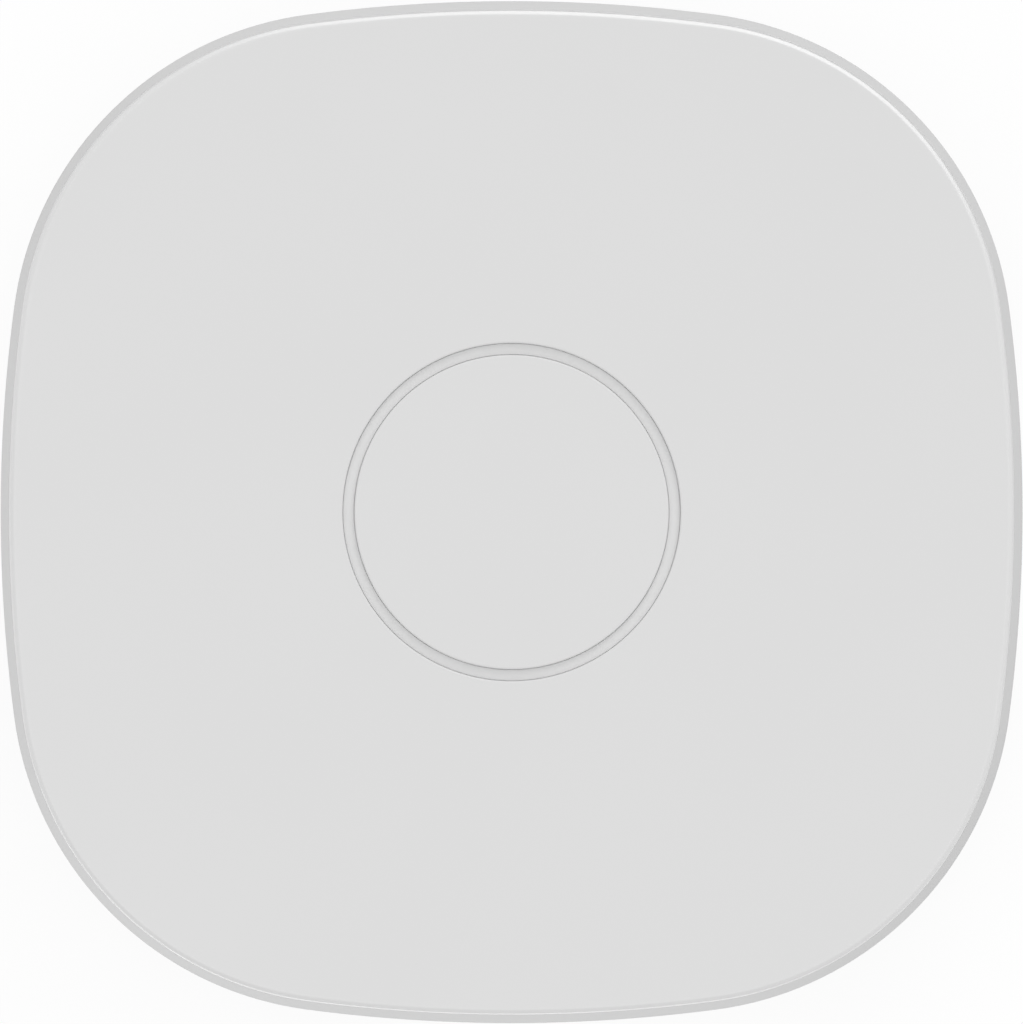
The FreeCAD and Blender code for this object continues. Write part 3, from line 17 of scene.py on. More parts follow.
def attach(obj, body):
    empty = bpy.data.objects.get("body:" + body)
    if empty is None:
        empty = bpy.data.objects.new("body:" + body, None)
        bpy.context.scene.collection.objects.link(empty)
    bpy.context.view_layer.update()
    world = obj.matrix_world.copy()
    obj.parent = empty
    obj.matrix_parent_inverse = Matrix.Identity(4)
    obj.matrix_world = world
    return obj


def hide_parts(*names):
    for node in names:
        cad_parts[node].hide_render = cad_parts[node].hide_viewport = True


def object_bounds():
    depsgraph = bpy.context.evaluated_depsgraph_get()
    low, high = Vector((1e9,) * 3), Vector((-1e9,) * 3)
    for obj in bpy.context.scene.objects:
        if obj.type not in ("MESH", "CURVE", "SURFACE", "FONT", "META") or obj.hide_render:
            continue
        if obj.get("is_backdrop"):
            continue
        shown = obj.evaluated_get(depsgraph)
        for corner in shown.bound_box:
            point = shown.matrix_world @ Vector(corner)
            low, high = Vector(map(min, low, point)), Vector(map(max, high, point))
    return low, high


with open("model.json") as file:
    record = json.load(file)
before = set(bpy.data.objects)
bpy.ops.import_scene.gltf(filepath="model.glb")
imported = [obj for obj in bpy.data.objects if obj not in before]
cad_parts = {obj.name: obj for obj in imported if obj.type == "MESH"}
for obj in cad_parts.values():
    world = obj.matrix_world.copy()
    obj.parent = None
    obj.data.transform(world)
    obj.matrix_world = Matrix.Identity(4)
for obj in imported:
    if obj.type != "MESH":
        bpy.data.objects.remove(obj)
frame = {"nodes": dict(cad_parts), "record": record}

MM = 0.001
scene = bpy.context.scene
scene.view_settings.view_transform = "Standard"
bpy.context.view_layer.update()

# %% [markdown]
# ## Camera
# The photograph looks straight down from far away, so that no side wall shows. An
# orthographic camera would do that too, but a very long lens keeps a real perspective, and
# the side walls stay hidden just as well. The picture's height covers a known width at the
# level of the rim, and the camera's height follows from that and the lens.

# %% Camera
SENSOR_WIDTH = 36.0
LENS_LENGTH = 1200.0
CLIP_START = 0.1
CLIP_END = 20.0
PICTURE_HEIGHT = 95.19
PICTURE_LEVEL = 24.3
PICTURE_CENTRE = (-0.01, 0.01)

camera_data = bpy.data.cameras.new("camera")
camera_data.sensor_width = SENSOR_WIDTH
camera_data.lens = LENS_LENGTH
camera_data.clip_start = CLIP_START
camera_data.clip_end = CLIP_END
camera = bpy.data.objects.new("camera", camera_data)
scene.collection.objects.link(camera)
camera_height = PICTURE_LEVEL + PICTURE_HEIGHT * LENS_LENGTH / SENSOR_WIDTH
camera.location = Vector((*PICTURE_CENTRE, camera_height)) * MM
scene.camera = camera
print("The camera stands", round(camera.location.z, 2), "m above the floor")

# %% [markdown]
# ## Node trees in plain words
# Shader maths reads best as plain sums. The first class below wraps a socket, so that
# `0.4 + 0.1 * grain` adds the Math nodes by itself. Every other node comes from one method
# that takes the node's type, its settings, and what goes into its sockets.

# %% Sums on sockets
class Signal:
    """An output socket that takes part in sums."""

    def __init__(self, tree, socket):
        self.tree = tree
        self.socket = socket

    def sum(self, operation, other):
        return self.tree.node("ShaderNodeMath", {"operation": operation}, {0: self, 1: other})

    def __add__(self, other):
        return self.sum("ADD", other)

    def __mul__(self, other):
        return self.sum("MULTIPLY", other)

    def __or__(self, other):
        return self.sum("MAXIMUM", other)

    def __gt__(self, other):
        return self.sum("GREATER_THAN", other)

    __radd__ = __add__
    __rmul__ = __mul__
    __ror__ = __or__

    def output(self, name):
        """Another output of the same node."""
        return Signal(self.tree, self.socket.node.outputs[name])


# %% Trees of nodes
class Tree:
    """The nodes of a material or of the world."""

    def __init__(self, owner):
        owner.use_nodes = True
        self.nodes = owner.node_tree.nodes
        self.links = owner.node_tree.links

    def feed(self, socket, value):
        if isinstance(value, Signal):
            self.links.new(value.socket, socket)
        else:
            socket.default_value = value

    def node(self, kind, settings=None, sockets=None, output=0):
        made = self.nodes.new(kind)
        for key, value in (settings or {}).items():
            setattr(made, key, value)
        for key, value in (sockets or {}).items():
            self.feed(made.inputs[key], value)
        return Signal(self, made.outputs[output])

    def end(self, kind, surface):
        """The output node, which has no output of its own."""
        made = self.nodes.new("ShaderNodeOutput" + kind)
        self.feed(made.inputs["Surface"], surface)

    def looked_at(self):
        """One for what the camera sees itself, in a reflection or through something clear."""
        rays = self.node("ShaderNodeLightPath", output="Is Camera Ray")
        return rays | rays.output("Is Glossy Ray") | rays.output("Is Transmission Ray")

    def surface(self, **values):
        """Set or link sockets of the material's own surface shader."""
        shader = self.nodes["Principled BSDF"]
        for key, value in values.items():
            self.feed(shader.inputs[key.replace("_", " ")], value)

    def noise(self, size, stretch=(1.0, 1.0, 1.0), detail=2.0):
        """Noise with features of a size in millimetres, whose value goes from 0 to 1."""
        here = self.node("ShaderNodeTexCoord", output="Object")
        placed = self.node("ShaderNodeMapping", None, {"Vector": here, "Scale": stretch})
        sockets = {"Vector": placed, "Scale": 1 / (size * MM), "Detail": detail}
        return self.node("ShaderNodeTexNoise", None, sockets)

    def mix(self, share, first, second):
        """A colour that goes from the first to the second as the share goes from 0 to 1."""
        sockets = {0: share, 6: first, 7: second}
        return self.node("ShaderNodeMix", {"data_type": "RGBA"}, sockets, output=2)

    def bump(self, height, depth):
        """A relief of a depth in millimetres."""
        return self.node("ShaderNodeBump", None, {"Height": height, "Distance": depth * MM})


def neutral(level):
    return (level, level, level)


def opaque(colour):
    return (*colour, 1.0)


BLACK = opaque(neutral(0.0))
WHITE = opaque(neutral(1.0))

# %% [markdown]
# ## Light
# White plastic on a white ground needs even light, or its flat faces burn out. A white dome
# gives that, and three far lamps draw the shapes. A soft one from beyond the top edge
# shades the ring's groove. A low, weak one from the other side keeps the sloping rim as
# bright all the way round as it is in the picture. Neither shows in reflections. The third
# is a wide panel that shows only there: it makes the light band on the chamfer round the
# plate, as a reflector card does in a studio.
#
# The dome's lower half is a mid grey. It stands in for the light that a floor throws back,
# so that the underside can be seen as well.

# %% Dome
DOME_LEVEL = 0.903
BOUNCE_LEVEL = 0.43

studio = bpy.data.worlds.new("studio")
scene.world = studio
sky = Tree(studio)
sky.nodes.clear()
heading = sky.node("ShaderNodeTexCoord", output="Generated")
height = sky.node("ShaderNodeSeparateXYZ", None, {"Vector": heading}, output="Z")
level = BOUNCE_LEVEL + (DOME_LEVEL - BOUNCE_LEVEL) * (height > 0.0)
dome = sky.node("ShaderNodeBackground", None, {"Color": WHITE, "Strength": level})
backdrop = sky.node("ShaderNodeBackground", None, {"Color": WHITE, "Strength": 1.0})
sky.end("World", sky.node("ShaderNodeMixShader", None, {0: sky.looked_at(), 1: dome, 2: backdrop}))
print("The dome has level", DOME_LEVEL, "above and", BOUNCE_LEVEL, "below")

# %% Lamps
def add_lamp(name, level, spread, azimuth, tilt, reflected):
    """A far lamp, tilted from straight overhead towards its azimuth, with angles in degrees."""
    data = bpy.data.lights.new(name, "SUN")
    data.energy = level
    data.angle = math.radians(spread)
    lamp = bpy.data.objects.new(name, data)
    lamp.rotation_euler = (0, math.radians(tilt), math.radians(azimuth))
    lamp.visible_diffuse = not reflected
    lamp.visible_glossy = reflected
    scene.collection.objects.link(lamp)
    print(name, "stands at azimuth", azimuth, "and height", 90 - tilt, "degrees")
    return lamp


add_lamp("soft_lamp", level=0.57, spread=36, azimuth=72, tilt=60, reflected=False)
low_fill = add_lamp("low_fill", level=0.55, spread=50, azimuth=240, tilt=76, reflected=False)
panel = add_lamp("reflected_panel", level=2.4, spread=70, azimuth=67, tilt=58, reflected=True)

# %% [markdown]
# ## Floor
# The floor is a sheet of white paper. Where the camera looks at it, most of what it shows
# is its own white glow, and a small share is matte paper that takes the object's shadow.
# Seen from below it is clear, so that the underside can be looked at. It is one large
# square, moved a little aside so that its diagonal doesn't run under the object.

# %% Floor
FLOOR_REACH = 2.5
FLOOR_SHIFT = Matrix.Translation((0.4, -0.3, 0.0))
PAPER_COLOUR = opaque(neutral(0.9))
PAPER_GLOW = 1.02
GLOW_SHARE = 0.86

floor_shape = bmesh.new()
bmesh.ops.create_grid(floor_shape, x_segments=1, y_segments=1, size=FLOOR_REACH,
                      matrix=FLOOR_SHIFT)
floor_mesh = bpy.data.meshes.new("floor")
floor_shape.to_mesh(floor_mesh)
floor_shape.free()
floor = bpy.data.objects.new("floor", floor_mesh)
floor.visible_diffuse = False
scene.collection.objects.link(floor)
paper = bpy.data.materials.new("floor_paper")
floor_mesh.materials.append(paper)
ground = Tree(paper)
ground.nodes.clear()
matte = ground.node("ShaderNodeBsdfDiffuse", None, {"Color": PAPER_COLOUR})
glow = ground.node("ShaderNodeEmission", None, {"Color": WHITE, "Strength": PAPER_GLOW})
glow_share = ground.looked_at() * GLOW_SHARE
lit = ground.node("ShaderNodeMixShader", None, {0: glow_share, 1: matte, 2: glow})
below = ground.node("ShaderNodeNewGeometry", output="Backfacing")
clear = ground.node("ShaderNodeBsdfTransparent")
ground.end("Material", ground.node("ShaderNodeMixShader", None, {0: below, 1: lit, 2: clear}))
floor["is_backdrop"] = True
print("The floor is", 2 * FLOOR_REACH, "m wide")

# %% [markdown]
# ## Finishes
# Moulded plastic is never quite one colour or one gloss. Up close it has a fine eroded
# grain from the mould, a slower waviness, and a gloss that drifts by a few percent. A flat
# colour would look like paper, and a photograph of plastic would bring its own light, so
# the finishes are worked out from noise. Three families cover the whole object: moulded,
# metal and board. Ferrite and ceramic are fine-grained enough to pass as moulded.

# %% Moulded plastic and rubber
WAVE_SIZE = 22.0
WAVE_GLOSS = 0.04
GRAIN_GLOSS = 0.03
GRAIN_DETAIL = 3.0


def moulded(name, colour, roughness, grain=0.16, depth=0.002, drift=0.012, coat=0.0, shine=0.5):
    """Plastic or rubber with a fine grain, given its colour, roughness and grain in mm."""
    material = bpy.data.materials.new(name)
    tree = Tree(material)
    slow = tree.noise(WAVE_SIZE)
    fine = tree.noise(grain, detail=GRAIN_DETAIL)
    pale = opaque(min(1.0, channel * (1 + drift)) for channel in colour)
    deep = opaque(channel * (1 - drift) for channel in colour)
    tree.surface(Base_Color=tree.mix(slow, deep, pale), Coat_Weight=coat,
                 Specular_IOR_Level=shine, Normal=tree.bump(fine, depth),
                 Roughness=roughness - GRAIN_GLOSS + WAVE_GLOSS * slow + GRAIN_GLOSS * fine)
    return material


# %% Metal
LINE_SIZE = 0.12
LINE_DETAIL = 4.0
LINE_DEPTH = 0.002
CLOUD_SIZE = 3.0
WEAR = 0.82
METAL_GLOSS = 0.1
METAL_BASE = 0.08


def metal(name, colour, roughness, brushed=(1.0, 1.0, 1.0)):
    """Metal sheet or wire, with fine lines where it is brushed along the smallest stretch."""
    material = bpy.data.materials.new(name)
    tree = Tree(material)
    lines = tree.noise(LINE_SIZE, brushed, detail=LINE_DETAIL)
    cloud = tree.noise(CLOUD_SIZE)
    worn = opaque(channel * WEAR for channel in colour)
    tree.surface(Base_Color=tree.mix(cloud, worn, opaque(colour)), Metallic=1.0,
                 Roughness=roughness - METAL_BASE + METAL_GLOSS * lines + METAL_GLOSS * cloud,
                 Normal=tree.bump(lines, LINE_DEPTH))
    return material


# %% Circuit board
TRACK_PITCH = 2.4
TRACK_LAYOUT = {"Mortar Size": 0.09, "Mortar Smooth": 0.3, "Brick Width": 1.7,
                "Row Height": 0.5, "Color1": BLACK, "Color2": BLACK, "Mortar": WHITE}
TRACK_STAGGER = {"offset": 0.37, "squash": 1.6, "squash_frequency": 3}
TRACK_HEIGHT = 0.03
WEAVE_SIZE = 0.4
WEAVE_SHARE = 0.2
MASK_ROUGHNESS = 0.32
MASK_GLOSS = 0.12
MASK_COAT = 0.2


def board(name, mask, track):
    """Solder mask over copper tracks, which show as slightly paler and raised lines."""
    material = bpy.data.materials.new(name)
    tree = Tree(material)
    here = tree.node("ShaderNodeTexCoord", output="Object")
    sockets = {"Vector": here, "Scale": 1 / (TRACK_PITCH * MM), **TRACK_LAYOUT}
    lines = tree.node("ShaderNodeTexBrick", TRACK_STAGGER, sockets, output="Fac")
    weave = tree.noise(WEAVE_SIZE)
    tree.surface(Base_Color=tree.mix(lines, opaque(mask), opaque(track)),
                 Roughness=MASK_ROUGHNESS + MASK_GLOSS * weave, Coat_Weight=MASK_COAT,
                 Normal=tree.bump(lines + WEAVE_SHARE * weave, TRACK_HEIGHT))
    return material


# %% [markdown]
# The slots come from the record, so each CAD node finds its finish by the slot that the
# record gives it, and every new piece names the slot that it takes over. Plate and button
# share one white. The wall's is a little deeper: painted shade, which greys the sloping rim
# beyond the shade that its slope gets. The light guide's is paler than the plate's.

# %% Finishes of plastic, rubber and ceramic
SATIN = {"colour": neutral(0.715), "roughness": 0.33, "shine": 0.7}

finishes = {
    "cover_plastic": moulded("satin_white_plate", **SATIN),
    # The wall's white is darker than the plate's as painted shade on the sloping rim.
    "housing_plastic": moulded("satin_wall_white_with_painted_shade", neutral(0.665), 0.45),
    "button_plastic": moulded("satin_white_button", **SATIN),
    "base_plastic": moulded("eroded_white_base", neutral(0.69), 0.55, grain=0.22, depth=0.006),
    # Paler than the plate: partly its own milky white, partly painted light against the shade in
    # its groove.
    "light_plastic": moulded("milky_light_guide_with_painted_light", neutral(0.79), 0.3, grain=0.5, depth=0.001),
    "foot_rubber": moulded("grey_rubber", neutral(0.2), 0.8, grain=0.3, depth=0.012, drift=0.08),
    "socket_plastic": moulded("black_socket", neutral(0.018), 0.42, grain=0.1, drift=0.1),
    "chip_plastic": moulded("black_resin", (0.03, 0.03, 0.032), 0.5, grain=0.08, depth=0.004,
                            drift=0.2),
    "carrier_plastic": moulded("white_carrier", neutral(0.7), 0.5),
    "tape": moulded("bonding_sheet", (0.8, 0.8, 0.78), 0.6, grain=0.4, depth=0.01),
    "lamp_plastic": moulded("lamp_phosphor", (0.85, 0.8, 0.5), 0.25, grain=0.06, drift=0.1,
                            coat=0.6),
    "indicator_plastic": moulded("indicator_window", (0.5, 0.58, 0.42), 0.2, grain=0.3,
                                 coat=0.5),
    "ferrite": moulded("ferrite", (0.07, 0.07, 0.075), 0.6, grain=0.15, depth=0.02, drift=0.2),
    "passive_ceramic": moulded("passive_ceramic", (0.4, 0.3, 0.19), 0.45, grain=0.1, drift=0.15),
}

# %% Finishes of boards and metal
finishes |= {
    "circuit_board": board("green_board", (0.012, 0.12, 0.05), (0.03, 0.22, 0.1)),
    "white_board": board("white_board", (0.72, 0.72, 0.7), (0.8, 0.8, 0.78)),
    "screw_steel": metal("zinc_screw", (0.6, 0.6, 0.58), 0.38),
    "socket_steel": metal("nickel_shield", (0.66, 0.65, 0.62), 0.34, brushed=(1.0, 0.08, 1.0)),
    "can_tin": metal("tinned_can", (0.68, 0.67, 0.63), 0.36, brushed=(0.1, 1.0, 1.0)),
    "capacitor_can": metal("drawn_can", (0.75, 0.75, 0.74), 0.3, brushed=(1.0, 1.0, 0.05)),
    "contact_gold": metal("gold_contact", (0.9, 0.66, 0.28), 0.26),
}
node_slots = {part["node"]: part["material_slot"] for part in frame["record"]["subparts"]}
for node_name, node_object in frame["nodes"].items():
    node_object.data.materials.clear()
    node_object.data.materials.append(finishes[node_slots[node_name]])
print(len(node_slots), "CAD nodes have one of", len(finishes), "finishes")

# %% [markdown]
# ## Tools for the shapes
# Two tools make nearly every visible piece. A lathe spins a profile once round. A sweep
# does the same along the case's outline, whose eight arcs run into each other without a
# corner: the profile is spun about each arc's own centre in turn. Rounded edges are cut
# on the flat profile with a vertex bevel, before it is spun, since a bevel on the finished
# shape would have to find its edges again.

# %% Profiles
ROUND_SEGMENTS = 8
WELD = 1e-4
LEVEL_TOLERANCE = 1e-3


def profile(shape, points, at, closed=True):
    """Draw a profile, given as (across, height, rounding), with the function that places it."""
    corners = [shape.verts.new(at(across, height)) for across, height, _ in points]
    following = corners[1:] + corners[:1] if closed else corners[1:]
    for corner, after in zip(corners, following):
        shape.edges.new((corner, after))
    for corner, (_, _, rounding) in zip(corners, points):
        if rounding:
            bmesh.ops.bevel(shape, geom=[corner], offset=rounding, segments=ROUND_SEGMENTS,
                            profile=0.5, affect="VERTICES", material=-1)
    return shape.verts[:] + shape.edges[:]


# %% Lathe
FINE_STEPS = 240
PLAIN_STEPS = 96


def lathe(points, closed=True, steps=FINE_STEPS):
    """Spin a profile of (radius, height, rounding) round the Z axis."""
    shape = bmesh.new()
    chain = profile(shape, points, lambda radius, height: (radius, 0, height), closed)
    bmesh.ops.spin(shape, geom=chain, cent=(0, 0, 0), axis=(0, 0, 1), angle=math.tau,
                   steps=steps, use_merge=True)
    bmesh.ops.remove_doubles(shape, verts=shape.verts, dist=WELD)
    return shape


# %% Sweep along the outline
HALF_WIDTH = 47.5
SIDE_RADIUS = 145.2
CORNER_RADIUS = 31.6
SIDE_CENTRE = HALF_WIDTH - SIDE_RADIUS
ARC_STEP = SIDE_RADIUS - CORNER_RADIUS
CORNER_CENTRE = (SIDE_CENTRE + math.sqrt(2 * ARC_STEP ** 2 - SIDE_CENTRE ** 2)) / 2
HALF_TURN = math.atan2(CORNER_CENTRE, CORNER_CENTRE - SIDE_CENTRE)
SIDE_STEPS = 24
CORNER_STEPS = 36


def outline_point(inset, height):
    """A point of the outline where a side arc starts, moved inward by the inset."""
    reach = SIDE_RADIUS - inset
    return (SIDE_CENTRE + reach * math.cos(HALF_TURN), -reach * math.sin(HALF_TURN), height)


def sweep(points, closed=True):
    """Carry a profile of (inset, height, rounding) once round the case's outline."""
    shape = bmesh.new()
    chain = profile(shape, points, outline_point, closed)
    for quarter in range(4):
        facing = Matrix.Rotation(quarter * math.pi / 2, 3, "Z")
        side = facing @ Vector((SIDE_CENTRE, 0, 0))
        corner = facing @ Vector((CORNER_CENTRE, CORNER_CENTRE, 0))
        arcs = ((side, 2 * HALF_TURN, SIDE_STEPS),
                (corner, math.pi / 2 - 2 * HALF_TURN, CORNER_STEPS))
        for centre, angle, steps in arcs:
            spun = bmesh.ops.spin(shape, geom=chain, cent=centre, axis=(0, 0, 1), angle=angle,
                                  steps=steps, use_duplicate=False)
            chain = spun["geom_last"]
    bmesh.ops.remove_doubles(shape, verts=shape.verts, dist=LEVEL_TOLERANCE)
    return shape


print("Side arcs turn", round(math.degrees(2 * HALF_TURN), 2), "degrees each")

# %% Softer edges and closed rims
def soften(shape, edges, offset, segments):
    """Round off the edges."""
    bmesh.ops.bevel(shape, geom=edges, offset=offset, segments=segments, profile=0.5,
                    affect="EDGES", material=-1)


def rim_edges(shape, height):
    """Open edges that lie at a height."""
    return [edge for edge in shape.edges if edge.is_boundary
            and all(abs(vert.co.z - height) < LEVEL_TOLERANCE for vert in edge.verts)]


def draw_rim(shape, height, place):
    """Draw the open rim at a height out into new faces, whose far corners are put in place."""
    made = bmesh.ops.extrude_edge_only(shape, edges=rim_edges(shape, height))["geom"]
    for item in made:
        if isinstance(item, bmesh.types.BMVert):
            item.co = place(item.co)


def fill(shape, *heights):
    """One flat face in the open rim at each height."""
    for height in heights:
        bmesh.ops.edgeloop_fill(shape, edges=rim_edges(shape, height))


# %% A round opening in a sweep
MOUTH_SEGMENTS = 6


def round_opening(shape, radius, top, under, rounding):
    """Close the open rims at two heights with flat faces round one round opening."""
    for level in (top, under):
        draw_rim(shape, level,
                 lambda spot: spot.xy.normalized().to_3d() * radius + Vector((0, 0, level)))
    draw_rim(shape, top, lambda spot: Vector((spot.x, spot.y, under)))
    bmesh.ops.remove_doubles(shape, verts=shape.verts, dist=WELD)
    mouth = [edge for edge in shape.edges
             if all(abs(vert.co.z - top) < WELD
                    and abs(vert.co.xy.length - radius) < LEVEL_TOLERANCE
                    for vert in edge.verts)]
    soften(shape, mouth, rounding, MOUTH_SEGMENTS)


# %% Rods and bricks
ROD_STEPS = 64
HOLE_STEPS = 32
VENT_STEPS = 24
BRICK_SEGMENTS = 4


def draw_out(shape, step):
    """Pull the two halves of a shape apart by the step, so that a circle becomes a slot."""
    for way in (1, -1):
        half = [vert for vert in shape.verts if vert.co.dot(step) * way > 0]
        bmesh.ops.translate(shape, vec=step * way, verts=half)


def rod(radius, low, high, x=0.0, y=0.0, run=0.0, steps=ROD_STEPS):
    """An upright rod, drawn out along Y where it has a run."""
    shape = bmesh.new()
    bmesh.ops.create_cone(shape, cap_ends=True, segments=steps, radius1=radius, radius2=radius,
                          depth=high - low)
    bmesh.ops.rotate(shape, cent=(0, 0, 0), matrix=Matrix.Rotation(math.pi / steps, 3, "Z"),
                     verts=shape.verts)
    draw_out(shape, Vector((0, run / 2, 0)))
    bmesh.ops.translate(shape, vec=(x, y, (low + high) / 2), verts=shape.verts)
    return shape


def brick(low, high, rounding=0.0):
    """A box from its lowest to its highest corner. Its edges along Y may be rounded."""
    shape = bmesh.new()
    size = Vector(high) - Vector(low)
    bmesh.ops.create_cube(shape, size=1.0)
    bmesh.ops.scale(shape, vec=size, verts=shape.verts)
    bmesh.ops.translate(shape, vec=(Vector(low) + Vector(high)) / 2, verts=shape.verts)
    if rounding:
        edges = [edge for edge in shape.edges
                 if abs(edge.verts[0].co.y - edge.verts[1].co.y) > LEVEL_TOLERANCE]
        soften(shape, edges, rounding, BRICK_SEGMENTS)
    return shape


# %% Carving one shape with others
def gather(shapes):
    """All the shapes in one."""
    whole = bmesh.new()
    for shape in shapes:
        passing = bpy.data.meshes.new("passing")
        shape.to_mesh(passing)
        shape.free()
        whole.from_mesh(passing)
        bpy.data.meshes.remove(passing)
    return whole


def to_object(shape, name):
    bmesh.ops.recalc_face_normals(shape, faces=shape.faces)
    mesh = bpy.data.meshes.new(name)
    shape.to_mesh(mesh)
    shape.free()
    made = bpy.data.objects.new(name, mesh)
    scene.collection.objects.link(made)
    return made


def carve(shape, tools, operation="DIFFERENCE"):
    """The shape without the tools, or united with them, worked out exactly."""
    whole, tool = to_object(shape, "whole"), to_object(gather(tools), "tool")
    step = whole.modifiers.new("carve", "BOOLEAN")
    step.operation = operation
    step.solver = "EXACT"
    step.object = tool
    result = bmesh.new()
    result.from_object(whole, bpy.context.evaluated_depsgraph_get())
    for used in (whole, tool):
        mesh = used.data
        bpy.data.objects.remove(used)
        bpy.data.meshes.remove(mesh)
    bmesh.ops.remove_doubles(result, verts=result.verts, dist=WELD)
    bmesh.ops.dissolve_degenerate(result, edges=result.edges, dist=WELD)
    return result


# %% [markdown]
# A finished shape becomes a piece: scaled from millimetres to metres, smooth except at
# sharp edges, with a weighted normal so that flat faces stay flat next to rounded edges.

# %% From shape to piece
SHARP_ANGLE = math.radians(28)


def make_piece(name, shape, body, node):
    """Turn a shape in millimetres into a piece that rides on a body and replaces a CAD node."""
    bmesh.ops.recalc_face_normals(shape, faces=shape.faces)
    bmesh.ops.scale(shape, vec=(MM, MM, MM), verts=shape.verts)
    open_edges = sum(1 for edge in shape.edges if not edge.is_manifold)
    mesh = bpy.data.meshes.new(name)
    shape.to_mesh(mesh)
    shape.free()
    for face in mesh.polygons:
        face.use_smooth = True
    mesh.set_sharp_from_angle(angle=SHARP_ANGLE)
    piece = bpy.data.objects.new(name, mesh)
    scene.collection.objects.link(piece)
    weighted = piece.modifiers.new("weighted", "WEIGHTED_NORMAL")
    weighted.keep_sharp = True
    slot = node_slots[node]
    mesh.materials.append(finishes[slot])
    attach(piece, body)
    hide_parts(node)
    print(name, len(mesh.polygons), "faces,", open_edges, "open edges")
    return piece


# %% [markdown]
# ## Top plate
# On the real object this is one thin moulded plate, bonded on. Round it runs a fine open
# groove, between a shallow chamfer and a low crest that meets the rim. On the lamp's side
# the chamfer catches the light in a soft band. On the other side it lies in shade, and the
# crest catches a thin line. A bevel on a flat plate would give only one of those lines, so
# the whole edge is a profile, swept as a closed strip of its own, which the panel can light
# alone. The plate inside it is a sweep too, and its flat faces run to the round opening.

# %% Edge strip of the plate
COVER_UNDER = 24.4
COVER_TOP = 26.0
COVER_INSET = 0.785
CREST_INSET = 0.82
CREST = 25.88
CREST_ROUND = 0.015
GROOVE_INSETS = (0.905, 0.925)
GROOVE = 25.82
GROOVE_ROUND = 0.01
CHAMFER_INSET = 1.21
CHAMFER_ROUND = 0.09
STRIP_INSET = 1.45
HIDDEN_ROUND = 0.1

strip = sweep([
    (COVER_INSET, COVER_UNDER, HIDDEN_ROUND),
    (COVER_INSET, CREST, CREST_ROUND), (CREST_INSET, CREST, CREST_ROUND),
    (GROOVE_INSETS[0], GROOVE, GROOVE_ROUND), (GROOVE_INSETS[1], GROOVE, GROOVE_ROUND),
    (CHAMFER_INSET, COVER_TOP, CHAMFER_ROUND),
    (STRIP_INSET, COVER_TOP, 0), (STRIP_INSET, COVER_UNDER, 0),
])
plate_edge = make_piece("plate_edge", strip, "case", "top_cover")

# %% Plate
COVER_OPENING = 15.695
PLATE_REACH = 2.0
SOFT_EDGE = 0.2

plate = sweep([
    (PLATE_REACH, COVER_UNDER, 0), (STRIP_INSET, COVER_UNDER, 0),
    (STRIP_INSET, COVER_TOP, 0), (PLATE_REACH, COVER_TOP, 0),
], closed=False)
round_opening(plate, COVER_OPENING, COVER_TOP, COVER_UNDER, SOFT_EDGE)
make_piece("top_plate", plate, "case", "top_cover")

# %% [markdown]
# ## Housing
# The side wall carries the narrow sloping rim that frames the plate, and the deck on which
# the plate is bonded. The slope meets the wall in a soft round, and ends at the plate's
# crest, so closely that the seam doesn't show. A cube with rounded corners could stand in
# for the wall, but its sides would be flat, where the real ones bulge. So it is a sweep as
# well. Posts, bosses and a light screen hang under the deck, and are united with it.

# %% Housing shell
WALL_LOW = 5.6
WALL_FOOT_ROUND = 0.2
WALL_INSIDE = 2.0
LIP_SEAT_INSET = 1.1
LIP_SEAT_TOP = 7.1
RIM_FOOT = 24.492
RIM_FOOT_ROUND = 0.33
RIM_INSET = 0.78
RIM_TOP = 25.865
DECK_UNDER = 22.2
DECK_TOP = 24.2
DECK_ROUND = 0.3
DECK_REACH = 4.0
DECK_OPENING = 15.86

wall = sweep([
    (DECK_REACH, DECK_TOP, 0), (RIM_INSET, DECK_TOP, 0), (RIM_INSET, RIM_TOP, 0),
    (0.0, RIM_FOOT, RIM_FOOT_ROUND), (0.0, WALL_LOW, WALL_FOOT_ROUND),
    (LIP_SEAT_INSET, WALL_LOW, 0), (LIP_SEAT_INSET, LIP_SEAT_TOP, 0),
    (WALL_INSIDE, LIP_SEAT_TOP, 0), (WALL_INSIDE, DECK_UNDER, DECK_ROUND),
    (DECK_REACH, DECK_UNDER, 0),
], closed=False)
round_opening(wall, DECK_OPENING, DECK_TOP, DECK_UNDER, HIDDEN_ROUND)

# %% Posts and bosses under the deck
QUARTERS = ((1, 1), (-1, 1), (-1, -1), (1, -1))
POST_PLACE = (30.0, 30.0)
POST_RADIUS = 3.25
POST_LOW = 5.4
BOSS_PLACE = (16.6, 16.6)
BOSS_RADIUS = 2.75
BOSS_LOW = 20.2
SCREEN_LOW = 20.5
SCREEN_RADII = (18.0, 18.8)
SUNK_TOP = DECK_UNDER + 0.8


def four_rods(place, radius, low, high):
    """The same upright rod in each quarter of the case."""
    return [rod(radius, low, high, place[0] * along_x, place[1] * along_y)
            for along_x, along_y in QUARTERS]


screen = lathe([
    (SCREEN_RADII[0], SCREEN_LOW, 0), (SCREEN_RADII[1], SCREEN_LOW, 0),
    (SCREEN_RADII[1], SUNK_TOP, 0), (SCREEN_RADII[0], SUNK_TOP, 0),
], steps=PLAIN_STEPS)
posts = four_rods(POST_PLACE, POST_RADIUS, POST_LOW, SUNK_TOP)
bosses = four_rods(BOSS_PLACE, BOSS_RADIUS, BOSS_LOW, SUNK_TOP)
wall = carve(wall, posts + bosses + [screen], "UNION")
print("Wall, posts, bosses and screen have", len(wall.faces), "faces")

# %% [markdown]
# The rear wall has three openings: one for the network socket, a slot for the power
# socket, and a pinhole for the reset switch. The wall bulges, so an opening drawn on a flat
# face wouldn't follow it. They are cut exactly instead, together with the screw holes, and
# their outer edges are then broken a little, as a mould does.

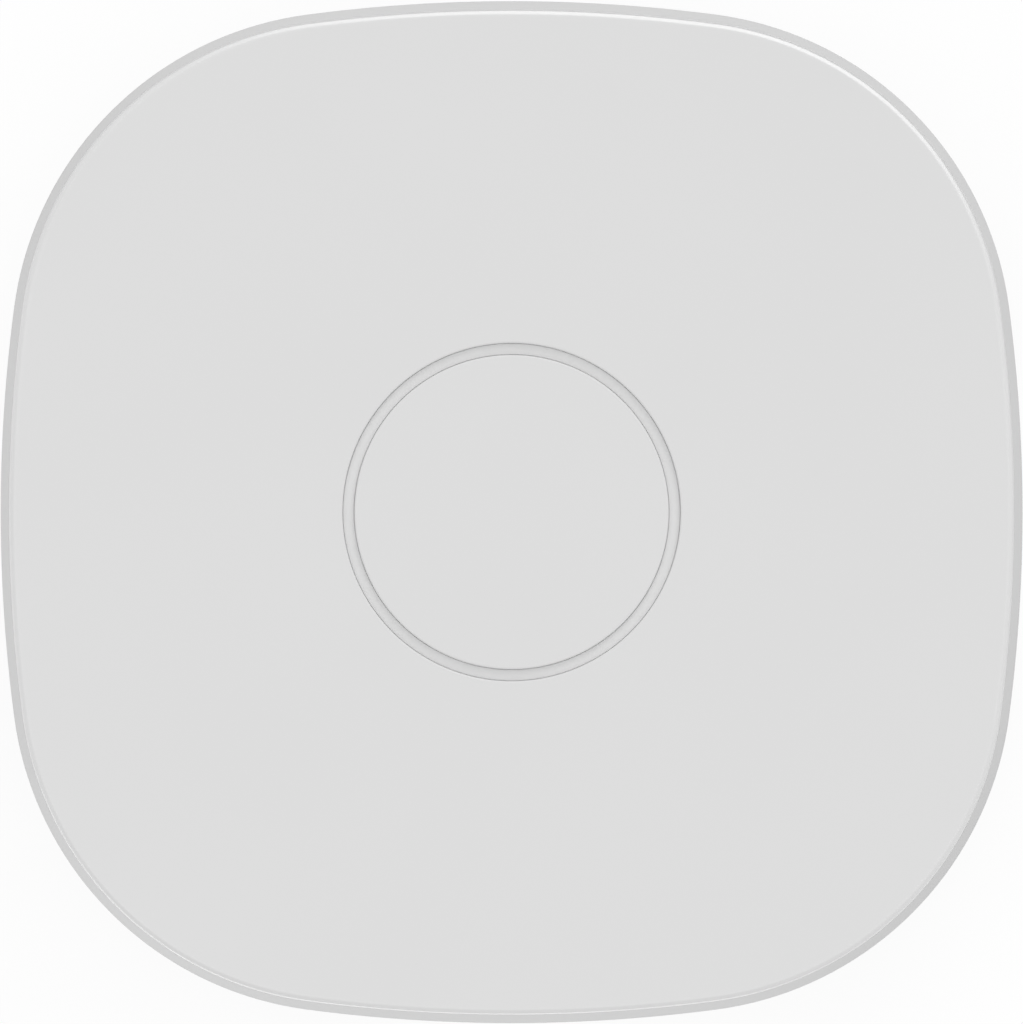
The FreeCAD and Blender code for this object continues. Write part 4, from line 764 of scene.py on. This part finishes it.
# %% Rear openings
JACK_X = -11.0
JACK_MIDDLE = 14.75
JACK_HALF = (8.2, 6.95)
JACK_CORNER = 0.45
USB_X = 11.0
USB_MIDDLE = 9.63
USB_OPENING = 2.28
USB_SPREAD = Vector((2.84, 0, 0))
RESET_X = 23.0
RESET_HEIGHT = 10.3
RESET_RADIUS = 0.8


def lay_down(shape, x, y, z):
    """Turn an upright shape so that its top faces +Y, and move it to its place."""
    bmesh.ops.rotate(shape, cent=(0, 0, 0), matrix=Matrix.Rotation(-math.pi / 2, 3, "X"),
                     verts=shape.verts)
    bmesh.ops.translate(shape, vec=(x, y, z), verts=shape.verts)
    return shape


usb_window = rod(USB_OPENING, -5.0, 5.0)
draw_out(usb_window, USB_SPREAD)
openings = [
    brick((JACK_X - JACK_HALF[0], 42.5, JACK_MIDDLE - JACK_HALF[1]),
          (JACK_X + JACK_HALF[0], 50.0, JACK_MIDDLE + JACK_HALF[1]), JACK_CORNER),
    lay_down(usb_window, USB_X, HALF_WIDTH, USB_MIDDLE),
    lay_down(rod(RESET_RADIUS, -6.0, 6.0, steps=HOLE_STEPS), RESET_X, 46.0, RESET_HEIGHT),
]

# %% Screw holes
POST_HOLE = (1.25, 4.0, 13.4)
BOSS_HOLE = (1.05, 19.0, 23.6)

openings += four_rods(POST_PLACE, *POST_HOLE)
openings += four_rods(BOSS_PLACE, *BOSS_HOLE)
wall = carve(wall, openings)

# %% Broken edges
REAR_FACE = 45.5
REAR_FACING = 0.85
EDGE_BREAK = 0.09
BREAK_SEGMENTS = 3
SQUARE_TURN = math.radians(60)


def outer_edges(shape):
    """Edges where the rear wall's outer face meets the wall of an opening."""
    return [edge for edge in shape.edges
            if edge.is_manifold and edge.calc_face_angle() > SQUARE_TURN
            and max(face.normal.y for face in edge.link_faces) > REAR_FACING
            and all(vert.co.y > REAR_FACE and WALL_LOW + 1 < vert.co.z < DECK_UNDER
                    for vert in edge.verts)]


bmesh.ops.recalc_face_normals(wall, faces=wall.faces)
rear_edges = outer_edges(wall)
print(len(rear_edges), "edges run round the rear openings")
soften(wall, rear_edges, EDGE_BREAK, BREAK_SEGMENTS)
housing_wall = make_piece("housing_wall", wall, "case", "housing")

# %% [markdown]
# ## Base
# The bottom shell closes the case from below. Its lower edge is widely rounded, so that
# the gateway seems to float on its feet, and a lip inside the seam centres the housing. It
# is swept like the wall, so that the seam between them keeps one width all the way round.

# %% Base shell
BASE_INSET = 0.3
BASE_UNDER = 1.0
BASE_ROUND = 3.0
BASE_TOP = 5.3
BASE_REACH = 9.0
FLOOR_TOP = 3.0
LIP_INSETS = (1.25, 2.15)
LIP_TOP = 6.8
LIP_ROUND = 0.2
INSIDE_ROUND = 0.5

tray = sweep([
    (BASE_REACH, BASE_UNDER, 0), (BASE_INSET, BASE_UNDER, BASE_ROUND),
    (BASE_INSET, BASE_TOP, LIP_ROUND), (LIP_INSETS[0], BASE_TOP, 0),
    (LIP_INSETS[0], LIP_TOP, LIP_ROUND), (LIP_INSETS[1], LIP_TOP, LIP_ROUND),
    (LIP_INSETS[1], FLOOR_TOP, INSIDE_ROUND), (BASE_REACH, FLOOR_TOP, 0),
], closed=False)
fill(tray, BASE_UNDER, FLOOR_TOP)

# %% [markdown]
# Standoffs for the board, bosses for the four case screws and guards over the keyholes
# stand on its floor. They are united with it first, and the holes are cut afterwards, in
# several goes: tools of one go mustn't touch each other, or the exact cut leaves slivers.

# %% Standoffs, bosses and keyhole guards
KEYHOLES_X = (-25.0, 25.0)
KEYHOLE_RUN = 7.0
KEYHOLE_HEAD = 3.75
KEYHOLE_SHANK = 2.15
STANDOFF = (24.0, 15.0)
IN_FLOOR = 2.0

raised = four_rods(STANDOFF, 2.6, IN_FLOOR, 6.4)
raised += four_rods(POST_PLACE, 4.2, IN_FLOOR, 5.4)
raised += [rod(4.95, IN_FLOOR, 5.9, x, 0, KEYHOLE_RUN) for x in KEYHOLES_X]
tray = carve(tray, raised, "UNION")

# %% Holes in them
OVER_ALL = 7.0

shanks = four_rods(POST_PLACE, 1.65, FLOOR_TOP, 6.0)
shanks += four_rods(STANDOFF, 1.05, FLOOR_TOP, OVER_ALL)
shanks += [rod(KEYHOLE_HEAD, FLOOR_TOP, OVER_ALL, x, 0, KEYHOLE_RUN) for x in KEYHOLES_X]
tray = carve(tray, four_rods(POST_PLACE, 6.2, 0.5, 1.8))
tray = carve(tray, four_rods(POST_PLACE, 2.7, 1.2, 3.4))
tray = carve(tray, shanks)

# %% Openings through the floor
VENT_PITCH = 4.0
VENT_COLUMNS = 7
VENT_Y = 18.0
VENT_RADIUS = 0.9
VENT_RUN = 10.2
THROUGH = (0.5, 3.5)

through = []
for column in range(VENT_COLUMNS):
    x = (column - (VENT_COLUMNS - 1) / 2) * VENT_PITCH
    for y in (-VENT_Y, VENT_Y):
        through.append(rod(VENT_RADIUS, *THROUGH, x, y, VENT_RUN, steps=VENT_STEPS))
through += [rod(KEYHOLE_SHANK, *THROUGH, x, 0, KEYHOLE_RUN) for x in KEYHOLES_X]
tray = carve(tray, through)
tray = carve(tray, [rod(KEYHOLE_HEAD, *THROUGH, x, -KEYHOLE_RUN / 2) for x in KEYHOLES_X])
base_tray = make_piece("base_tray", tray, "case", "base")

# %% [markdown]
# The four feet are rubber pads that also cover the case screws. Each is a short lathe
# profile with a rounded lower edge, closed with flat faces instead of a pole.

# %% Feet
FOOT_RADIUS = 6.0
FOOT_HEIGHT = 1.8
FOOT_ROUND = 0.4
FACE_RADIUS = 0.5

pads = []
for along_x, along_y in QUARTERS:
    pad = lathe([
        (FACE_RADIUS, 0.0, 0), (FOOT_RADIUS, 0.0, FOOT_ROUND),
        (FOOT_RADIUS, FOOT_HEIGHT, HIDDEN_ROUND), (FACE_RADIUS, FOOT_HEIGHT, 0),
    ], closed=False, steps=PLAIN_STEPS)
    fill(pad, 0.0, FOOT_HEIGHT)
    place = (POST_PLACE[0] * along_x, POST_PLACE[1] * along_y, 0)
    bmesh.ops.translate(pad, vec=place, verts=pad.verts)
    pads.append(pad)
make_piece("foot_pads", gather(pads), "case", "rubber_feet")

# %% [markdown]
# ## Button and light ring
# The button is a disc, flush with the plate, on a skirt with three hooked legs. The light
# ring stands between the two, a little lower, so that a fine line runs along both of its
# edges and the lamp draws a soft shadow across it. Both are round, so both are lathe work.
# The lines come from the softly rounded edges of plate and button: painted lines would
# stay the same from every side, and these turn with the light.

# %% Button disc
CAP_RADIUS = 14.62
CAP_UNDER = 24.6
CORE_RADIUS = 0.8
PUSHER_RADIUS = 2.2
PUSHER_LOW = 23.35
SKIRT_RADII = (12.2, 13.2)
SKIRT_LOW = 23.3

disc = lathe([
    (CORE_RADIUS, PUSHER_LOW, 0), (PUSHER_RADIUS, PUSHER_LOW, HIDDEN_ROUND),
    (PUSHER_RADIUS, CAP_UNDER, 0), (SKIRT_RADII[0], CAP_UNDER, 0),
    (SKIRT_RADII[0], SKIRT_LOW, HIDDEN_ROUND), (SKIRT_RADII[1], SKIRT_LOW, HIDDEN_ROUND),
    (SKIRT_RADII[1], CAP_UNDER, 0), (CAP_RADIUS, CAP_UNDER, HIDDEN_ROUND),
    (CAP_RADIUS, COVER_TOP, SOFT_EDGE), (CORE_RADIUS, COVER_TOP, 0),
], closed=False)
fill(disc, PUSHER_LOW, COVER_TOP)

# %% Hooked legs
LEG_COUNT = 3
LEG_WIDTH = 3.2
LEG_SIDES = ((9.7, 25.3), (9.7, 21.05), (11.13, 21.05), (11.6, 21.55), (10.9, 21.55),
             (10.9, 25.3))

legs = []
for number in range(LEG_COUNT):
    leg = bmesh.new()
    corners = [leg.verts.new((across, -LEG_WIDTH / 2, height)) for across, height in LEG_SIDES]
    made = bmesh.ops.extrude_face_region(leg, geom=[leg.faces.new(corners)])
    moved = [item for item in made["geom"] if isinstance(item, bmesh.types.BMVert)]
    bmesh.ops.translate(leg, vec=(0, LEG_WIDTH, 0), verts=moved)
    turn = Matrix.Rotation(number * math.tau / LEG_COUNT, 3, "Z")
    bmesh.ops.rotate(leg, cent=(0, 0, 0), matrix=turn, verts=leg.verts)
    legs.append(leg)
disc = carve(disc, legs, "UNION")
make_piece("button_disc", disc, "button", "button_cap")

# %% Light ring
RING_INNER = 14.637
RING_OUTER = 15.68
RING_TOP = 25.38
RING_LOW = 21.2
RING_ROUND = 0.06
FLANGE_RADIUS = 17.4

ring = lathe([
    (RING_INNER, RING_LOW, HIDDEN_ROUND), (FLANGE_RADIUS, RING_LOW, HIDDEN_ROUND),
    (FLANGE_RADIUS, DECK_UNDER, HIDDEN_ROUND), (RING_OUTER, DECK_UNDER, 0),
    (RING_OUTER, RING_TOP, RING_ROUND), (RING_INNER, RING_TOP, RING_ROUND),
])
make_piece("light_ring", ring, "case", "light_guide")

# %% [markdown]
# ## Network socket
# A folded metal shield round a black moulding. The moulding's mouth has the stepped shape
# that takes a plug and its latch, two small lamp windows sit beside the latch, and eight
# sprung wires slope back under its roof. Shield and moulding start as rounded bricks and
# are hollowed out with others, which keeps every wall as thick as the real sheet.

# %% Shield
BOARD_TOP = 8.0
JACK_TOP = 21.5
JACK_FACE = 46.0
JACK_REAR = 24.7
JACK_LEFT = JACK_X - 8.0
JACK_RIGHT = JACK_X + 8.0
SHEET = 0.25
FRAME = 0.9
BELOW_BOARD = 7.0
IN_FRONT = 47.0

shield = brick((JACK_LEFT, JACK_REAR, BOARD_TOP), (JACK_RIGHT, JACK_FACE, JACK_TOP), 0.3)
hollow = brick((JACK_LEFT + SHEET, JACK_REAR + SHEET, BELOW_BOARD),
               (JACK_RIGHT - SHEET, JACK_FACE - SHEET, JACK_TOP - SHEET), 0.2)
shield = carve(shield, [hollow])
mouth = brick((JACK_LEFT + FRAME, 45.0, BELOW_BOARD),
              (JACK_RIGHT - FRAME, IN_FRONT, JACK_TOP - FRAME), 0.4)
shield = carve(shield, [mouth])
make_piece("network_shield", shield, "case", "ethernet_jack_shell")

# %% Moulding
INSERT_GAP = 0.3
INSERT_REAR = 25.0
INSERT_FACE = 45.75
PLUG_REAR = 30.75
PLUG_LOW = 12.4
PLUG_TOP = 19.3
PLUG_HALF = 5.95
LATCH_LOW = 10.2
LATCH_HALF = 3.1
INSERT_ROUND = 0.15
WINDOWS_X = (JACK_X - 5.4, JACK_X + 5.4)
WINDOW_REAR = 43.25

insert = brick((JACK_LEFT + INSERT_GAP, INSERT_REAR, BOARD_TOP),
               (JACK_RIGHT - INSERT_GAP, INSERT_FACE, JACK_TOP - INSERT_GAP), INSERT_ROUND)
for half, low, high in ((PLUG_HALF, PLUG_LOW, PLUG_TOP), (LATCH_HALF, LATCH_LOW, 13.0)):
    room = brick((JACK_X - half, PLUG_REAR, low), (JACK_X + half, IN_FRONT, high), INSERT_ROUND)
    insert = carve(insert, [room])
pits = [brick((x - 1.55, WINDOW_REAR, 8.95), (x + 1.55, IN_FRONT, 10.85), 0.2)
        for x in WINDOWS_X]
insert = carve(insert, pits)
make_piece("network_moulding", insert, "case", "ethernet_jack_insert")

# %% Lamp windows
WINDOW_BREAK = 0.12

windows = []
for x in WINDOWS_X:
    window = brick((x - 1.5, WINDOW_REAR, 9.0), (x + 1.5, INSERT_FACE, 10.8), 0.2)
    front = [edge for edge in window.edges
             if all(vert.co.y > INSERT_FACE - LEVEL_TOLERANCE for vert in edge.verts)]
    soften(window, front, WINDOW_BREAK, BREAK_SEGMENTS)
    windows.append(window)
make_piece("network_lamp_windows", gather(windows), "case", "ethernet_jack_lamps")

# %% [markdown]
# The wires are bent round wire. A curve with a bevel is the natural tool for those, and it
# is turned into a mesh straight away, so that it can be welded like the rest.

# %% Sprung wires
WIRE_RADIUS = 0.17
WIRE_PITCH = 1.02
WIRE_COUNT = 8
WIRE_PATH = ((44.0, 19.13), (43.2, 19.0), (41.0, 18.5), (37.0, 17.65), (34.2, 17.05),
             (33.35, 17.0))

wires = bmesh.new()
for number in range(WIRE_COUNT):
    x = JACK_X + (number - (WIRE_COUNT - 1) / 2) * WIRE_PITCH
    curve = bpy.data.curves.new("wire", "CURVE")
    curve.dimensions = "3D"
    curve.bevel_depth = WIRE_RADIUS
    curve.bevel_resolution = 2
    curve.use_fill_caps = True
    path = curve.splines.new("NURBS")
    path.points.add(len(WIRE_PATH) - 1)
    for point, (y, z) in zip(path.points, WIRE_PATH):
        point.co = (x, y, z, 1.0)
    path.order_u = 3
    path.use_endpoint_u = True
    holder = bpy.data.objects.new("wire", curve)
    wire_mesh = bpy.data.meshes.new_from_object(holder)
    wires.from_mesh(wire_mesh)
    bpy.data.objects.remove(holder)
    bpy.data.curves.remove(curve)
    bpy.data.meshes.remove(wire_mesh)
bmesh.ops.remove_doubles(wires, verts=wires.verts, dist=WELD)
make_piece("network_wires", wires, "case", "ethernet_jack_contacts")

# %% [markdown]
# ## Power socket
# A drawn metal shell with a rounded mouth, and a thin tongue inside it. The shell is lathe
# work that is drawn out sideways, which turns its circle into the socket's slot and keeps
# the wall's thickness and the mouth's round the same all the way.

# %% Power socket shell
USB_DEPTH = 7.35
USB_RADII = (1.33, 1.63)
USB_REAR = 0.3
CENTRE_RADIUS = 0.4

shell = lathe([
    (CENTRE_RADIUS, 0.0, 0), (USB_RADII[1], 0.0, 0.3), (USB_RADII[1], USB_DEPTH, 0.12),
    (USB_RADII[0], USB_DEPTH, 0.14), (USB_RADII[0], USB_REAR, HIDDEN_ROUND),
    (CENTRE_RADIUS, USB_REAR, 0),
], closed=False, steps=PLAIN_STEPS)
fill(shell, 0.0, USB_REAR)
half_step = Matrix.Rotation(math.pi / PLAIN_STEPS, 3, "Z")
bmesh.ops.rotate(shell, cent=(0, 0, 0), matrix=half_step, verts=shell.verts)
draw_out(shell, USB_SPREAD)
lay_down(shell, USB_X, JACK_FACE - USB_DEPTH, USB_MIDDLE)
make_piece("power_shell", shell, "case", "usb_socket_shell")

# %% Tongue
TONGUE_REAR = 38.95


def tongue_brick(half_width, front, half_height, rounding):
    """A brick on the power socket's middle line."""
    return brick((USB_X - half_width, TONGUE_REAR, USB_MIDDLE - half_height),
                 (USB_X + half_width, front, USB_MIDDLE + half_height), rounding)


root = tongue_brick(2.84, 40.75, 1.28, 0.2)
tongue = carve(root, [tongue_brick(3.35, 45.35, 0.35, 0.12)], "UNION")
make_piece("power_tongue", tongue, "case", "usb_socket_tongue")

# %% [markdown]
# ## Flags
# In a studio, black cards beside a lamp keep its light off what it isn't meant for. Light
# linking does that here. Only the plate's edge shows the panel's reflection, so that no
# flat face burns out in any view. The low lamp lifts only the rim and the side walls, so
# that the far chamfer keeps its shade.

# %% Flags
def light_only(lamp, *pieces):
    """Let a lamp light these pieces alone."""
    lit_pieces = bpy.data.collections.new(lamp.name + "_lights")
    for piece in pieces:
        lit_pieces.objects.link(piece)
    lamp.light_linking.receiver_collection = lit_pieces
    print(lamp.name, "lights", [piece.name for piece in pieces])


light_only(panel, plate_edge)
light_only(low_fill, housing_wall, base_tray)

# %% [markdown]
# ## Done
# The size of the visual model is printed.

# %% Sizes and finish
low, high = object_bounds()
print("The visual model is", [round(side / MM, 2) for side in high - low], "mm")
